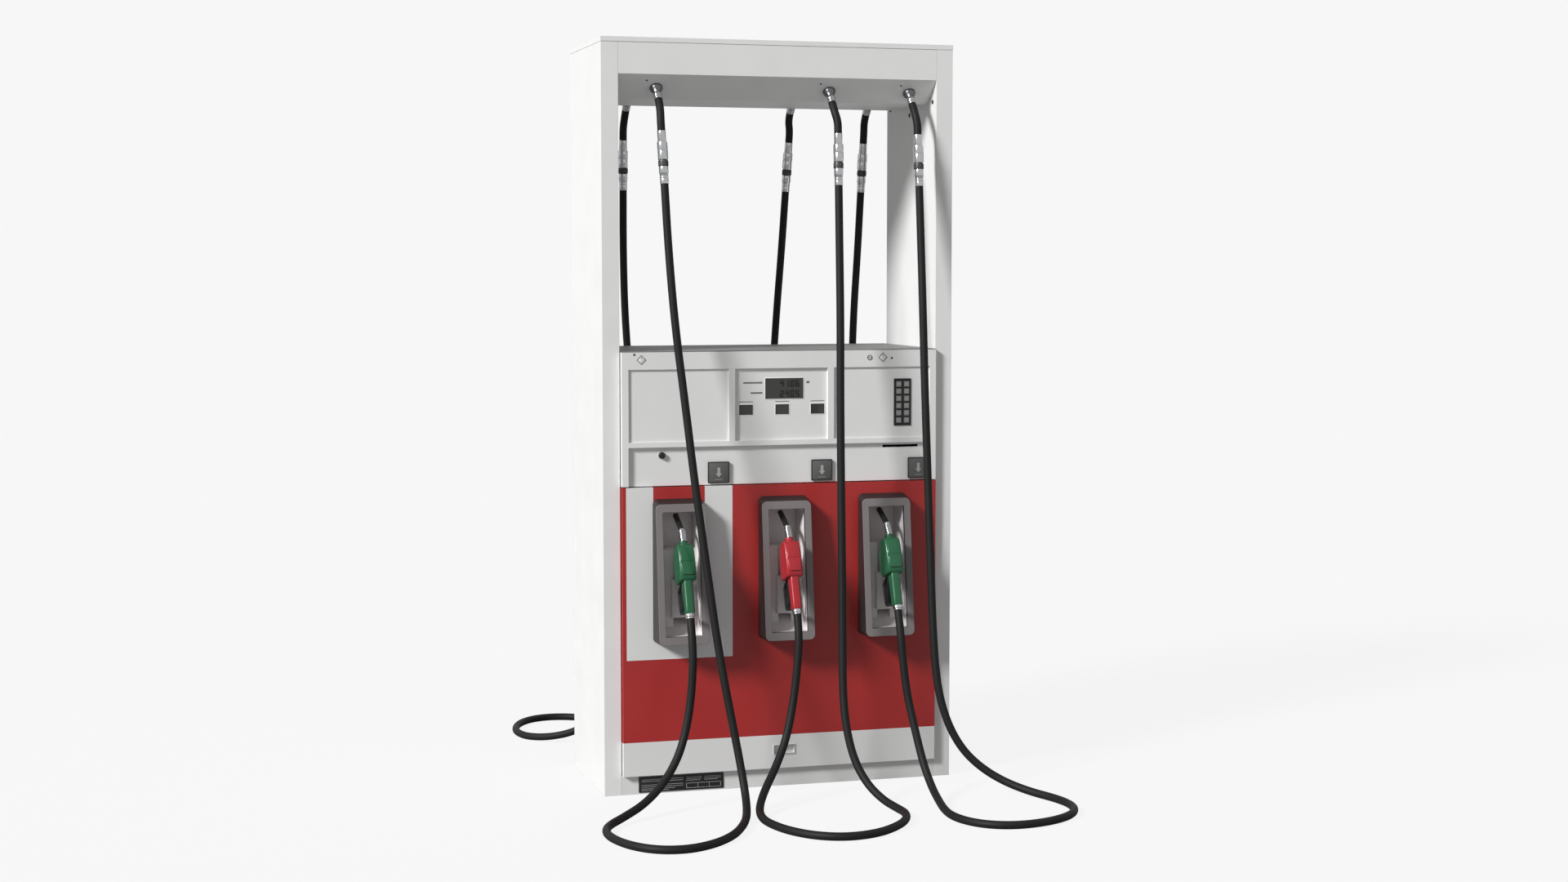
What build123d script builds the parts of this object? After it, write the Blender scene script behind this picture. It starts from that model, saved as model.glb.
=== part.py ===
"""A two-sided fuel dispenser with six hoses, as an assembly of separate pieces.

Millimetres. X is to the right of someone at the front, Y runs from the front to the back and Z is up.
The origin is on the floor, under the middle of the cabinet. Front pieces stand at negative Y, and each
back piece is its mirror image in the XZ plane.
"""

import os
from math import cos, pi, radians, sin, tan

from build123d import *

os.makedirs("parts", exist_ok=True)

# Overall sizes
WIDTH = 1141.0
DEPTH = 496.0
HEIGHT = 2350.0

# Sheet metal and clearances
SHEET = 2.0
PLATE = 3.0
SEAM = 3.0
CLEAR = 0.3
RUN = 0.05

# Mast: two columns, a canopy between them and a cap on top
CAP_HEIGHT = 15.0
CAP_OVERHANG = 1.0
COLUMN_WIDTH = 53.5
CANOPY_FASCIA = 97.0
CANOPY_SLOPE_RUN = 80.0
CANOPY_SLOPE_RISE = 70.0
COLUMN_SCREW_R = 4.0
COLUMN_SCREWS = ((-212.0, 2172.0), (15.0, 2143.0), (212.0, 2172.0))
COLUMN_LIP = 15.0

# Base and cabinet
BASE_HEIGHT = 60.0
BASE_FLANGE = 60.0
RAIL_WIDTH = 50.0
RAIL_Y = 60.0
ANCHOR_R = 7.0
ANCHOR_INSET = 32.0
RATING_PLATE = (-324.5, 30.0, 274.0, 50.0, 3.0)
CABINET_TOP = 1387.0
PANEL_STAND_OUT = 16.0
PANEL_RETURN = 32.0
DOOR_HEIGHT = 905.0
SHELF_HEIGHT = 955.0
SHELF_LIP = 15.0
LID_EDGE = 25.0
INNER_GAP = 10.0

# Bezel, with three display windows above a long button recess
WINDOW_TOP = 1330.5
WINDOW_HEIGHT = 225.0
SIDE_WINDOW = (172.0, 491.0)
SIDE_WINDOW_DEPTH = 5.0
MID_WINDOW_WIDTH = 302.0
MID_WINDOW_DEPTH = 8.0
RECESS_WIDTH = 984.0
RECESS_TOP = 1089.0
RECESS_DEPTH = 11.0
CARD_SLOT = (396.0, 1078.0, 118.0, 8.0)

# Displays and keys
LCD = (10.5, 1266.5, 125.0, 65.0)
PRICE_X = (-114.5, 3.5, 119.5)
PRICE_Z = 1201.0
PRICE_SIZE = (45.0, 32.0)
DISPLAY_DEPTH = 16.0
DISPLAY_SINK = 1.0
KEYPAD = (401.0, 1218.0, 56.0, 149.0)
KEYPAD_DEPTH = 14.0
KEYPAD_STAND_OUT = 2.5
KEY_SIZE = 17.5
KEY_PITCH_X = 26.0
KEY_PITCH_Z = 23.0
KEY_STAND_OUT = 1.5
KEY_MAT = 2.0

# Buttons and locks on the bezel
START_X = (-204.0, 133.0, 455.0)
START_Z = 1007.0
START_SIZE = (69.0, 67.0)
START_STAND_OUT = 7.5
START_TRAVEL = 3.0
START_CORNER = 3.0
STEM_R = 9.0
STEM_FLANGE = (3.0, 4.0)
CALL_X = -385.0
CALL_Z = 1064.0
CALL_R = 10.0
CALL_STAND_OUT = 10.0
CALL_STEM_R = 5.0
CALL_EDGE_R = 2.5
DIAMOND_X = (-450.0, 334.0)
LOCK_Z = 1361.0
DIAMOND_SIDE = 20.5
DIAMOND_DEPTH = 1.0
LOCK_X = 290.0
LOCK_R = 6.2
LOCK_STAND_OUT = 1.0
LOCK_LENGTH = 20.0
LOCK_SLOT = (1.6, 1.5)
LOCK_CAM = (23.0, 8.0, 2.0)

# Nozzle holders
POD_X = (-337.0, 3.0, 332.0)
POD_WIDTH = 160.0
POD_TOP = 929.0
POD_TOP_DEPTH = 42.0
POD_TOP_FALL = 14.0
POD_BOTTOM_FRONT = 483.0
POD_BOTTOM_DEPTH = 92.0
POD_BOTTOM_BACK = 478.0
POD_CORNER = 16.0
POD_WALL = 3.0
POD_FRAME = 21.0
MOUTH_TOP = 891.0
MOUTH_BOTTOM = 508.0
POCKET_TOP = 901.0
POCKET_BACK = 206.0
POCKET_FLOOR_BACK = 575.0
POCKET_SLOPE_START = 40.0
TRAY_LAP = 1.5
REST_OUT = 272.0
REST_TOP = 772.0
CHANNEL = (-17.0, 25.0)
REST_PLATE = (-26.0, 24.0)
REST_PLATE_Z = (560.0, 678.0)
REST_PLATE_OUT = 296.0

# Finger pull near the foot of each door
PULL = (8.0, 120.0, 66.0, 26.0)
PULL_RIM = 4.0
PULL_DEPTH = 14.0
PULL_STAND_OUT = 1.5

# Nozzles, in their own plane: u runs up the handle, v runs towards the cabinet
NOZZLE_END = (-427.0, 575.0)
NOZZLE_LEAN = 22.0
COLLAR_R = 16.5
COLLAR_LENGTH = 20.0
HANDLE_HALF = 14.5
COVER_HALF = 25.5
COVER_BOTTOM = 116.0
COVER_TOP = 232.0
GUARD_HALF = 11.0
SPOUT_R = 9.5
SPOUT_BENDS = (14.6, 42.5)
SPOUT_RUNS = (54.0, 92.0)
TRIGGER_PIVOT = (40.0, 124.0)
TRIGGER_PIN_R = 4.0
TRIGGER_HALF = 9.0
TRIGGER_LENGTH = 82.0
TRIGGER_THICKNESS = 6.0
SPOUT_WALL = 2.0
SPOUT_BEND_R = 40.0
SPOUT_ROOT_V = -6.0
NOZZLE_WALL = 4.0

# Hoses
HOSE_R = 12.4
SWIVEL_X = (-387.0, 172.0, 438.0)
SWIVEL_DROP = 32.0
SWIVEL_LENGTH = 50.0
SWIVEL_R = 20.5
SWIVEL_BORE_R = 13.0
SWIVEL_TAIL = 20.0
VENT_HOLE_R = 3.5
VENT_HOLE_PLACE = (-34.0, 30.0)
BREAKAWAY_STEPS = ((13.2, 35.0), (15.8, 55.0), (14.2, 2.0), (15.2, 18.0), (14.6, 23.0), (13.4, 32.0))
WHIP_START = 35.0
WHIP_END = 38.0
NOZZLE_RUN = 60.0

# Power and fuel handling
MOTOR_R = 80.0
MOTOR_LENGTH = 220.0
MOTOR_AXIS_Z = 165.0
MOTOR_FOOT = (160.0, 40.0)
TERMINAL_BOX = (90.0, 100.0, 35.0)
PUMP_X = 250.0
PUMP_AXIS_Z = 200.0
PUMP_SIZE = (170.0, 190.0, 210.0)
SEPARATOR_R = 62.0
SEPARATOR_HEIGHT = 110.0
PUMP_CORNER = 12.0
PUMP_BOSS = (45.0, 15.0)
PULLEY_Y = -150.0
MOTOR_GAP = 40.0
DRIVE_R = 40.0
DRIVEN_R = 88.0
GROOVE = 12.0
PULLEY_LIP = 7.0
PULLEY_LIP_WIDTH = 3.0
BELT_WIDTH = 10.0
BELT_HEIGHT = 8.0
SHAFT_R = 11.0
BEARING_DEPTH = 30.0
SHAFT_END_GAP = 1.0
METER_SETBACK = 79.0
METER_SIZE = (110.0, 96.0, 90.0)
METER_CORNER = 10.0
METER_PORT_STEPS = (-28.0, 27.0)
PULSER = (50.0, 50.0, 30.0)
PIPE_R = 11.0
HEADER_R = 17.0
BRANCH_R = 14.0
PIPE_WALL = 2.0
PIPE_BEND = 25.0
HEADER_LEVELS = (620.0, 560.0)
RISER_LEVELS = (790.0, 750.0)
MID_RISER_Y = 30.0
MID_RISER_STEP = 60.0
MID_RISER_LAG = 5.0
INLET_R = 24.0
INLET_WALL = 3.5
CONTROL_BOX = (420.0, 200.0, 150.0)
CONTROL_LID_LAP = 3.0

# Worked-out places
COLUMN_OUT = WIDTH / 2 - CAP_OVERHANG
COLUMN_IN = COLUMN_OUT - COLUMN_WIDTH
COLUMN_TOP = HEIGHT - CAP_HEIGHT
COLUMN_HALF_DEPTH = DEPTH / 2 - CAP_OVERHANG
PANEL_HALF = COLUMN_IN - SEAM
CANOPY_LOW = COLUMN_TOP - CANOPY_FASCIA - CANOPY_SLOPE_RISE
CANOPY_SHOULDER = COLUMN_TOP - CANOPY_FASCIA
CANOPY_FLAT = COLUMN_HALF_DEPTH - CANOPY_SLOPE_RUN
METER_Y = CANOPY_FLAT - METER_SETBACK
PANEL_Y = DEPTH / 2 + PANEL_STAND_OUT
PANEL_BACK = PANEL_Y - PANEL_RETURN
DOOR_BOTTOM = BASE_HEIGHT + CLEAR
DOOR_TOP = DOOR_BOTTOM + DOOR_HEIGHT
BEZEL_BOTTOM = DOOR_TOP + SEAM
BEZEL_TOP = CABINET_TOP - SHEET - CLEAR
RECESS_Y = PANEL_Y - RECESS_DEPTH
MID_WINDOW_Y = PANEL_Y - MID_WINDOW_DEPTH
SIDE_WINDOW_Y = PANEL_Y - SIDE_WINDOW_DEPTH
BREAKAWAY_LENGTH = sum(length for radius, length in BREAKAWAY_STEPS)
HANDLE_UP = Vector(0, sin(radians(NOZZLE_LEAN)), cos(radians(NOZZLE_LEAN)))
HANDLE_IN = Vector(0, cos(radians(NOZZLE_LEAN)), -sin(radians(NOZZLE_LEAN)))

# Hand-laid routes of the three front hoses, from under the breakaway, over the floor, up to the nozzle
FLOOR_Z = HOSE_R + 0.6
ROUTES = {
    "left": [
        (-384, -302, 1900), (-379, -330, 1700), (-367, -362, 1470), (-342, -388, 1230),
        (-320, -421, 985), (-292, -452, 735), (-264, -482, 490), (-238, -508, 320),
        (-213, -534, 165), (-204, -572, 65), (-214, -632, 24), (-237, -710, FLOOR_Z),
        (-275, -805, FLOOR_Z), (-325, -898, FLOOR_Z), (-398, -978, FLOOR_Z), (-487, -1023, FLOOR_Z),
        (-572, -1008, FLOOR_Z), (-634, -942, FLOOR_Z), (-668, -850, FLOOR_Z), (-674, -762, FLOOR_Z),
        (-650, -685, FLOOR_Z), (-590, -622, 20), (-516, -568, 42), (-450, -524, 86),
        (-395, -492, 155), (-362, -472, 240), (-344, -463, 340), (-337, -460, 440),
    ],
    "mid": [
        (174, -302, 1900), (168, -331, 1700), (160, -368, 1480), (152, -394, 1240),
        (148, -415, 990), (145, -435, 740), (140, -459, 500), (134, -482, 330),
        (137, -507, 228), (152, -538, 135), (180, -580, 67), (214, -634, 26),
        (238, -698, FLOOR_Z), (244, -770, FLOOR_Z), (218, -850, FLOOR_Z), (162, -925, FLOOR_Z),
        (82, -988, FLOOR_Z), (-13, -1008, FLOOR_Z), (-97, -970, FLOOR_Z), (-156, -888, FLOOR_Z),
        (-186, -790, FLOOR_Z), (-190, -708, FLOOR_Z), (-180, -645, 26), (-146, -580, 62),
        (-94, -522, 118), (-49, -485, 198), (-20, -464, 306), (-4, -458, 430),
    ],
    "right": [
        (440, -302, 1900), (438, -329, 1700), (434, -362, 1480), (434, -384, 1230),
        (437, -405, 980), (440, -424, 730), (443, -442, 500), (450, -460, 340),
        (475, -482, 225), (519, -503, 138), (576, -530, 80), (640, -566, 40),
        (702, -624, FLOOR_Z + 5), (747, -700, FLOOR_Z), (764, -785, FLOOR_Z), (752, -865, FLOOR_Z),
        (706, -935, FLOOR_Z), (622, -988, FLOOR_Z), (520, -1010, FLOOR_Z), (438, -986, FLOOR_Z),
        (385, -925, FLOOR_Z), (363, -842, FLOOR_Z), (370, -755, FLOOR_Z), (382, -670, 22),
        (385, -602, 46), (377, -544, 108), (362, -502, 216), (346, -473, 320), (335, -460, 443),
    ],
}


def save(name, part):
    """Label one finished piece and write it."""
    part.label = name
    export_step(part, f"parts/{name}.step")


def save_pair(name, part):
    """Write a front piece and its mirror image for the back."""
    save(f"front_{name}", part)
    save(f"back_{name}", mirror(part, about=Plane.XZ))


def both_sides(part):
    """A front piece and its mirror image, as one group of solids."""
    return Compound(children=[*part.solids(), *mirror(part, about=Plane.XZ).solids()])


def front_plane(y):
    """The upright plane at a distance y in front of the origin: X to the right, Z up."""
    return Plane.XZ.offset(y)


# Mast

# Welded base: four walls, an anchor flange on the floor and two rails that carry the machinery
base_half_x = COLUMN_IN - CLEAR
with BuildPart() as base_frame:
    with BuildSketch():
        Rectangle(2 * base_half_x, 2 * COLUMN_HALF_DEPTH)
        Rectangle(2 * (base_half_x - PLATE), 2 * (COLUMN_HALF_DEPTH - PLATE), mode=Mode.SUBTRACT)
    extrude(amount=BASE_HEIGHT)
    with BuildSketch():
        Rectangle(2 * base_half_x, 2 * COLUMN_HALF_DEPTH)
        flange_hole = (2 * (base_half_x - BASE_FLANGE), 2 * (COLUMN_HALF_DEPTH - BASE_FLANGE))
        Rectangle(*flange_hole, mode=Mode.SUBTRACT)
        anchor_x = 2 * (base_half_x - ANCHOR_INSET)
        anchor_y = 2 * (COLUMN_HALF_DEPTH - ANCHOR_INSET)
        with GridLocations(anchor_x, anchor_y, 2, 2):
            Circle(ANCHOR_R, mode=Mode.SUBTRACT)
    extrude(amount=PLATE)
    with BuildSketch(Plane.XY.offset(BASE_HEIGHT - PLATE)):
        with GridLocations(0, 2 * RAIL_Y, 1, 2):
            Rectangle(2 * base_half_x, RAIL_WIDTH)
    extrude(amount=PLATE)
save("base_frame", base_frame.part)

# Columns: folded boxes, open to the cabinet below and to the canopy above
column_x = (COLUMN_OUT + COLUMN_IN) / 2
with BuildPart() as right_column:
    with BuildSketch():
        with Locations((column_x, 0)):
            Rectangle(COLUMN_WIDTH, 2 * COLUMN_HALF_DEPTH)
            Rectangle(COLUMN_WIDTH - 2 * SHEET, 2 * (COLUMN_HALF_DEPTH - SHEET), mode=Mode.SUBTRACT)
    extrude(amount=COLUMN_TOP)
    cabinet_opening = (BASE_HEIGHT, CABINET_TOP - 2 * COLUMN_LIP)
    canopy_opening = (CANOPY_LOW + COLUMN_LIP, COLUMN_TOP - COLUMN_LIP)
    with BuildSketch(Plane.YZ.offset(COLUMN_IN)):
        with Locations((0, sum(cabinet_opening) / 2)):
            Rectangle(2 * (COLUMN_HALF_DEPTH - COLUMN_LIP), cabinet_opening[1] - cabinet_opening[0])
        with Locations((0, sum(canopy_opening) / 2)):
            Rectangle(2 * CANOPY_FLAT, canopy_opening[1] - canopy_opening[0])
        with Locations(*COLUMN_SCREWS):
            Circle(COLUMN_SCREW_R)
    extrude(amount=SHEET, both=True, mode=Mode.SUBTRACT)
save("right_column", right_column.part)
save("left_column", mirror(right_column.part, about=Plane.YZ))

# Cap: a shallow pan, turned down over both columns
with BuildPart() as top_cap:
    with BuildSketch(Plane.XY.offset(COLUMN_TOP)):
        Rectangle(WIDTH, DEPTH)
    extrude(amount=CAP_HEIGHT)
    with BuildSketch(Plane.XY.offset(COLUMN_TOP)):
        Rectangle(WIDTH - 2 * PLATE, DEPTH - 2 * PLATE)
    extrude(amount=CAP_HEIGHT - SHEET, mode=Mode.SUBTRACT)
save("top_cap", top_cap.part)


def slope_plane(x, side):
    """The canopy's sloping face at one hose outlet; side is -1 at the front and 1 at the back."""
    slope_y = CANOPY_FLAT + SWIVEL_DROP * CANOPY_SLOPE_RUN / CANOPY_SLOPE_RISE
    outward = (0, side * CANOPY_SLOPE_RISE, -CANOPY_SLOPE_RUN)
    return Plane(origin=(x, side * slope_y, CANOPY_LOW + SWIVEL_DROP), x_dir=(1, 0, 0), z_dir=outward)


# Canopy: one folded sheet with a sloping underside that carries the hose outlets
canopy_outline = [
    (-COLUMN_HALF_DEPTH, COLUMN_TOP - CLEAR),
    (-COLUMN_HALF_DEPTH, CANOPY_SHOULDER),
    (-CANOPY_FLAT, CANOPY_LOW),
    (CANOPY_FLAT, CANOPY_LOW),
    (COLUMN_HALF_DEPTH, CANOPY_SHOULDER),
    (COLUMN_HALF_DEPTH, COLUMN_TOP - CLEAR),
]
with BuildPart() as canopy_shell:
    with BuildSketch(Plane.YZ.offset(-COLUMN_IN + CLEAR)):
        Polygon(*canopy_outline, align=None)
        offset(amount=-SHEET, kind=Kind.INTERSECTION, mode=Mode.SUBTRACT)
    extrude(amount=2 * (COLUMN_IN - CLEAR))
    for side in (-1, 1):
        for x in SWIVEL_X:
            with BuildSketch(slope_plane(x, side)):
                Circle(SWIVEL_BORE_R + CLEAR)
                with Locations((VENT_HOLE_PLACE[0], -side * VENT_HOLE_PLACE[1])):
                    Circle(VENT_HOLE_R)
            extrude(amount=2 * SHEET, both=True, mode=Mode.SUBTRACT)
save("canopy_shell", canopy_shell.part)

# Cabinet

# Lid: a flat sheet over the cabinet and both bezels, with a turned-down edge at each column
with BuildPart() as cabinet_lid:
    with BuildSketch(Plane.XY.offset(CABINET_TOP - SHEET)):
        Rectangle(2 * PANEL_HALF, 2 * PANEL_Y)
    extrude(amount=SHEET)
    with BuildSketch(Plane.XY.offset(CABINET_TOP - SHEET)):
        with GridLocations(2 * PANEL_HALF - SHEET, 0, 2, 1):
            Rectangle(SHEET, 2 * (PANEL_BACK - INNER_GAP))
    extrude(amount=-LID_EDGE)
save("cabinet_lid", cabinet_lid.part)

# Vapour barrier: the tray between the fuel handling below and the electronics above
with BuildPart() as vapour_barrier:
    shelf_y = 2 * (PANEL_BACK - INNER_GAP)
    with BuildSketch(Plane.XY.offset(SHELF_HEIGHT)):
        Rectangle(2 * PANEL_HALF, shelf_y)
    extrude(amount=PLATE + SHELF_LIP)
    with BuildSketch(Plane.XY.offset(SHELF_HEIGHT + PLATE)):
        Rectangle(2 * (PANEL_HALF - SHEET), shelf_y - 2 * SHEET)
    extrude(amount=SHELF_LIP, mode=Mode.SUBTRACT)
save("vapour_barrier", vapour_barrier.part)


def wall_block(x_range, z_range, y_range, mode=Mode.ADD):
    """A block given by its limits; y_range runs from its front to its back, as distances in front."""
    x_mid = (x_range[0] + x_range[1]) / 2
    z_mid = (z_range[0] + z_range[1]) / 2
    with BuildSketch(front_plane(y_range[0])) as block:
        with Locations((x_mid, z_mid)):
            Rectangle(x_range[1] - x_range[0], z_range[1] - z_range[0])
    extrude(block.sketch, amount=y_range[1] - y_range[0], mode=mode)


window_z = (WINDOW_TOP - WINDOW_HEIGHT, WINDOW_TOP)
windows = [
    ((-SIDE_WINDOW[1], -SIDE_WINDOW[0]), SIDE_WINDOW_Y),
    ((-MID_WINDOW_WIDTH / 2, MID_WINDOW_WIDTH / 2), MID_WINDOW_Y),
    (SIDE_WINDOW, SIDE_WINDOW_Y),
]
recess_x = (-RECESS_WIDTH / 2, RECESS_WIDTH / 2)

# Bezel: a moulded panel with three sunk windows and one long button recess, open at its foot
with BuildPart() as bezel:
    wall_block((-PANEL_HALF, PANEL_HALF), (BEZEL_BOTTOM, BEZEL_TOP), (PANEL_Y, PANEL_BACK))
    wall_block(
        (-PANEL_HALF + PLATE, PANEL_HALF - PLATE),
        (BEZEL_BOTTOM + PLATE, BEZEL_TOP - PLATE),
        (PANEL_Y - PLATE, PANEL_BACK),
        Mode.SUBTRACT,
    )
    for window_x, window_y in windows:
        wall_block(
            (window_x[0] - PLATE, window_x[1] + PLATE),
            (window_z[0] - PLATE, window_z[1] + PLATE),
            (PANEL_Y, window_y - PLATE),
        )
        wall_block(window_x, window_z, (PANEL_Y, window_y), Mode.SUBTRACT)
    wall_block(
        (recess_x[0] - PLATE, recess_x[1] + PLATE),
        (BEZEL_BOTTOM, RECESS_TOP + PLATE),
        (PANEL_Y, RECESS_Y - PLATE),
    )
    wall_block(recess_x, (BEZEL_BOTTOM, RECESS_TOP), (PANEL_Y, RECESS_Y), Mode.SUBTRACT)
    with BuildSketch(front_plane(RECESS_Y)):
        with Locations(CARD_SLOT[:2]):
            Rectangle(*CARD_SLOT[2:])
        with Locations(*[(x, START_Z) for x in START_X]):
            Circle(STEM_R + CLEAR)
        with Locations((CALL_X, CALL_Z)):
            Circle(CALL_STEM_R + CLEAR)
    extrude(amount=-PLATE, mode=Mode.SUBTRACT)
    with BuildSketch(front_plane(MID_WINDOW_Y)):
        with Locations(LCD[:2]):
            Rectangle(LCD[2] + 2 * CLEAR, LCD[3] + 2 * CLEAR)
        with Locations(*[(x, PRICE_Z) for x in PRICE_X]):
            Rectangle(PRICE_SIZE[0] + 2 * CLEAR, PRICE_SIZE[1] + 2 * CLEAR)
    extrude(amount=-PLATE, mode=Mode.SUBTRACT)
    with BuildSketch(front_plane(SIDE_WINDOW_Y)):
        with Locations(KEYPAD[:2]):
            Rectangle(KEYPAD[2] + 2 * CLEAR, KEYPAD[3] + 2 * CLEAR)
    extrude(amount=-PLATE, mode=Mode.SUBTRACT)
    with BuildSketch(front_plane(PANEL_Y)):
        with Locations((LOCK_X, LOCK_Z)):
            Circle(LOCK_R + RUN)
    extrude(amount=-PLATE, mode=Mode.SUBTRACT)
    with BuildSketch(front_plane(PANEL_Y)):
        with Locations(*[(x, LOCK_Z) for x in DIAMOND_X]):
            Rectangle(DIAMOND_SIDE + 2 * CLEAR, DIAMOND_SIDE + 2 * CLEAR, rotation=45)
    extrude(amount=-DIAMOND_DEPTH, mode=Mode.SUBTRACT)
save_pair("bezel", bezel.part)

# Diamond plates, set flush into both bezels, and the rating plate on the front of the base
with BuildPart() as diamond_plates:
    with BuildSketch(front_plane(PANEL_Y - DIAMOND_DEPTH)):
        with Locations(*[(x, LOCK_Z) for x in DIAMOND_X]):
            Rectangle(DIAMOND_SIDE, DIAMOND_SIDE, rotation=45)
    extrude(amount=DIAMOND_DEPTH)
with BuildPart() as rating_plate:
    with BuildSketch(front_plane(COLUMN_HALF_DEPTH + CLEAR)):
        with Locations(RATING_PLATE[:2]):
            RectangleRounded(*RATING_PLATE[2:4], RATING_PLATE[4])
    extrude(amount=DIAMOND_DEPTH)
trim_plates = [*both_sides(diamond_plates.part).solids(), *rating_plate.part.solids()]
save("trim_plates", Compound(children=trim_plates))

# Bezel lock: a slotted barrel through the bezel with a cam tongue behind it
with BuildPart() as bezel_lock:
    with BuildSketch(front_plane(PANEL_Y + LOCK_STAND_OUT)):
        with Locations((LOCK_X, LOCK_Z)):
            Circle(LOCK_R)
    extrude(amount=-LOCK_LENGTH)
    with BuildSketch(front_plane(PANEL_Y + LOCK_STAND_OUT)):
        with Locations((LOCK_X, LOCK_Z)):
            Rectangle(2 * LOCK_R, LOCK_SLOT[0])
    extrude(amount=-LOCK_SLOT[1], mode=Mode.SUBTRACT)
    cam_length, cam_width, cam_thickness = LOCK_CAM
    with BuildSketch(front_plane(PANEL_Y + LOCK_STAND_OUT - LOCK_LENGTH + 2 * cam_thickness)):
        with Locations((LOCK_X, LOCK_Z + (cam_length - cam_width) / 2)):
            SlotOverall(cam_length, cam_width, rotation=90)
    extrude(amount=-cam_thickness)
save_pair("bezel_lock", bezel_lock.part)

# Display modules: the sale display and three price displays, in openings of the middle window
with BuildPart() as displays:
    with BuildSketch(front_plane(MID_WINDOW_Y - DISPLAY_SINK)):
        with Locations(LCD[:2]):
            Rectangle(*LCD[2:])
        with Locations(*[(x, PRICE_Z) for x in PRICE_X]):
            Rectangle(*PRICE_SIZE)
    extrude(amount=-DISPLAY_DEPTH)
save_pair("displays", displays.part)

# Keypad frame: a thick plate with two columns of six square windows
keypad_y = SIDE_WINDOW_Y + KEYPAD_STAND_OUT
with BuildPart() as keypad_frame:
    with BuildSketch(front_plane(keypad_y)):
        with Locations(KEYPAD[:2]):
            Rectangle(*KEYPAD[2:])
            with GridLocations(KEY_PITCH_X, KEY_PITCH_Z, 2, 6):
                Rectangle(KEY_SIZE + 2 * CLEAR, KEY_SIZE + 2 * CLEAR, mode=Mode.SUBTRACT)
    extrude(amount=-KEYPAD_DEPTH)
save("keypad_frames", both_sides(keypad_frame.part))

# Keys: twelve caps moulded on one mat behind the frame
with BuildPart() as keypad_keys:
    with BuildSketch(front_plane(keypad_y + KEY_STAND_OUT)):
        with Locations(KEYPAD[:2]):
            with GridLocations(KEY_PITCH_X, KEY_PITCH_Z, 2, 6):
                Rectangle(KEY_SIZE, KEY_SIZE)
    extrude(amount=-(KEYPAD_DEPTH + KEY_STAND_OUT + CLEAR))
    with BuildSketch(front_plane(keypad_y - KEYPAD_DEPTH - CLEAR)):
        with Locations(KEYPAD[:2]):
            Rectangle(*KEYPAD[2:])
    extrude(amount=-KEY_MAT)
save_pair("keypad_keys", keypad_keys.part)

# Start buttons: a square cap on a round stem, with a flange behind the bezel that keeps it in
for name, x in zip(("left", "mid", "right"), START_X):
    with BuildPart() as start_button:
        with BuildSketch(front_plane(RECESS_Y + START_STAND_OUT)):
            with Locations((x, START_Z)):
                RectangleRounded(*START_SIZE, START_CORNER)
        extrude(amount=-(START_STAND_OUT - START_TRAVEL - CLEAR))
        with BuildSketch(front_plane(RECESS_Y + START_TRAVEL + CLEAR)):
            with Locations((x, START_Z)):
                Circle(STEM_R)
        extrude(amount=-(START_TRAVEL + PLATE + 2 * CLEAR + STEM_FLANGE[1]))
        with BuildSketch(front_plane(RECESS_Y - PLATE - CLEAR)):
            with Locations((x, START_Z)):
                Circle(STEM_R + STEM_FLANGE[0])
        extrude(amount=-STEM_FLANGE[1])
    save_pair(f"start_button_{name}", start_button.part)

# Call button: a domed cap on a thin stem
with BuildPart() as call_button:
    with BuildSketch(front_plane(RECESS_Y + START_TRAVEL + CLEAR)):
        with Locations((CALL_X, CALL_Z)):
            Circle(CALL_R)
    extrude(amount=CALL_STAND_OUT - START_TRAVEL - CLEAR)
    fillet(call_button.edges().group_by(Axis.Y)[0], CALL_EDGE_R)
    with BuildSketch(front_plane(RECESS_Y + START_TRAVEL + CLEAR)):
        with Locations((CALL_X, CALL_Z)):
            Circle(CALL_STEM_R)
    extrude(amount=-(START_TRAVEL + PLATE + 2 * CLEAR + STEM_FLANGE[1]))
    with BuildSketch(front_plane(RECESS_Y - PLATE - CLEAR)):
        with Locations((CALL_X, CALL_Z)):
            Circle(CALL_STEM_R + STEM_FLANGE[0])
    extrude(amount=-STEM_FLANGE[1])
save_pair("call_button", call_button.part)

# Doors

tray_x = POD_WIDTH / 2 - POD_FRAME + POD_WALL
tray_z = (MOUTH_BOTTOM - POD_WALL, POCKET_TOP + POD_WALL)

# Lower door: a folded pan with an opening behind each nozzle holder and one for the finger pull
with BuildPart() as door:
    wall_block((-PANEL_HALF, PANEL_HALF), (DOOR_BOTTOM, DOOR_TOP), (PANEL_Y, PANEL_BACK))
    wall_block(
        (-PANEL_HALF + SHEET, PANEL_HALF - SHEET),
        (DOOR_BOTTOM + SHEET, DOOR_TOP - SHEET),
        (PANEL_Y - SHEET, PANEL_BACK),
        Mode.SUBTRACT,
    )
    for x in POD_X:
        pod_opening_x = (x - tray_x - CLEAR, x + tray_x + CLEAR)
        pod_opening_z = (tray_z[0] - CLEAR, tray_z[1] + CLEAR)
        wall_block(pod_opening_x, pod_opening_z, (PANEL_Y, PANEL_Y - SHEET), Mode.SUBTRACT)
    with BuildSketch(front_plane(PANEL_Y)):
        with Locations(PULL[:2]):
            Rectangle(PULL[2] + 2 * (SHEET + CLEAR), PULL[3] + 2 * (SHEET + CLEAR))
    extrude(amount=-SHEET, mode=Mode.SUBTRACT)
save_pair("door", door.part)

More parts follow.
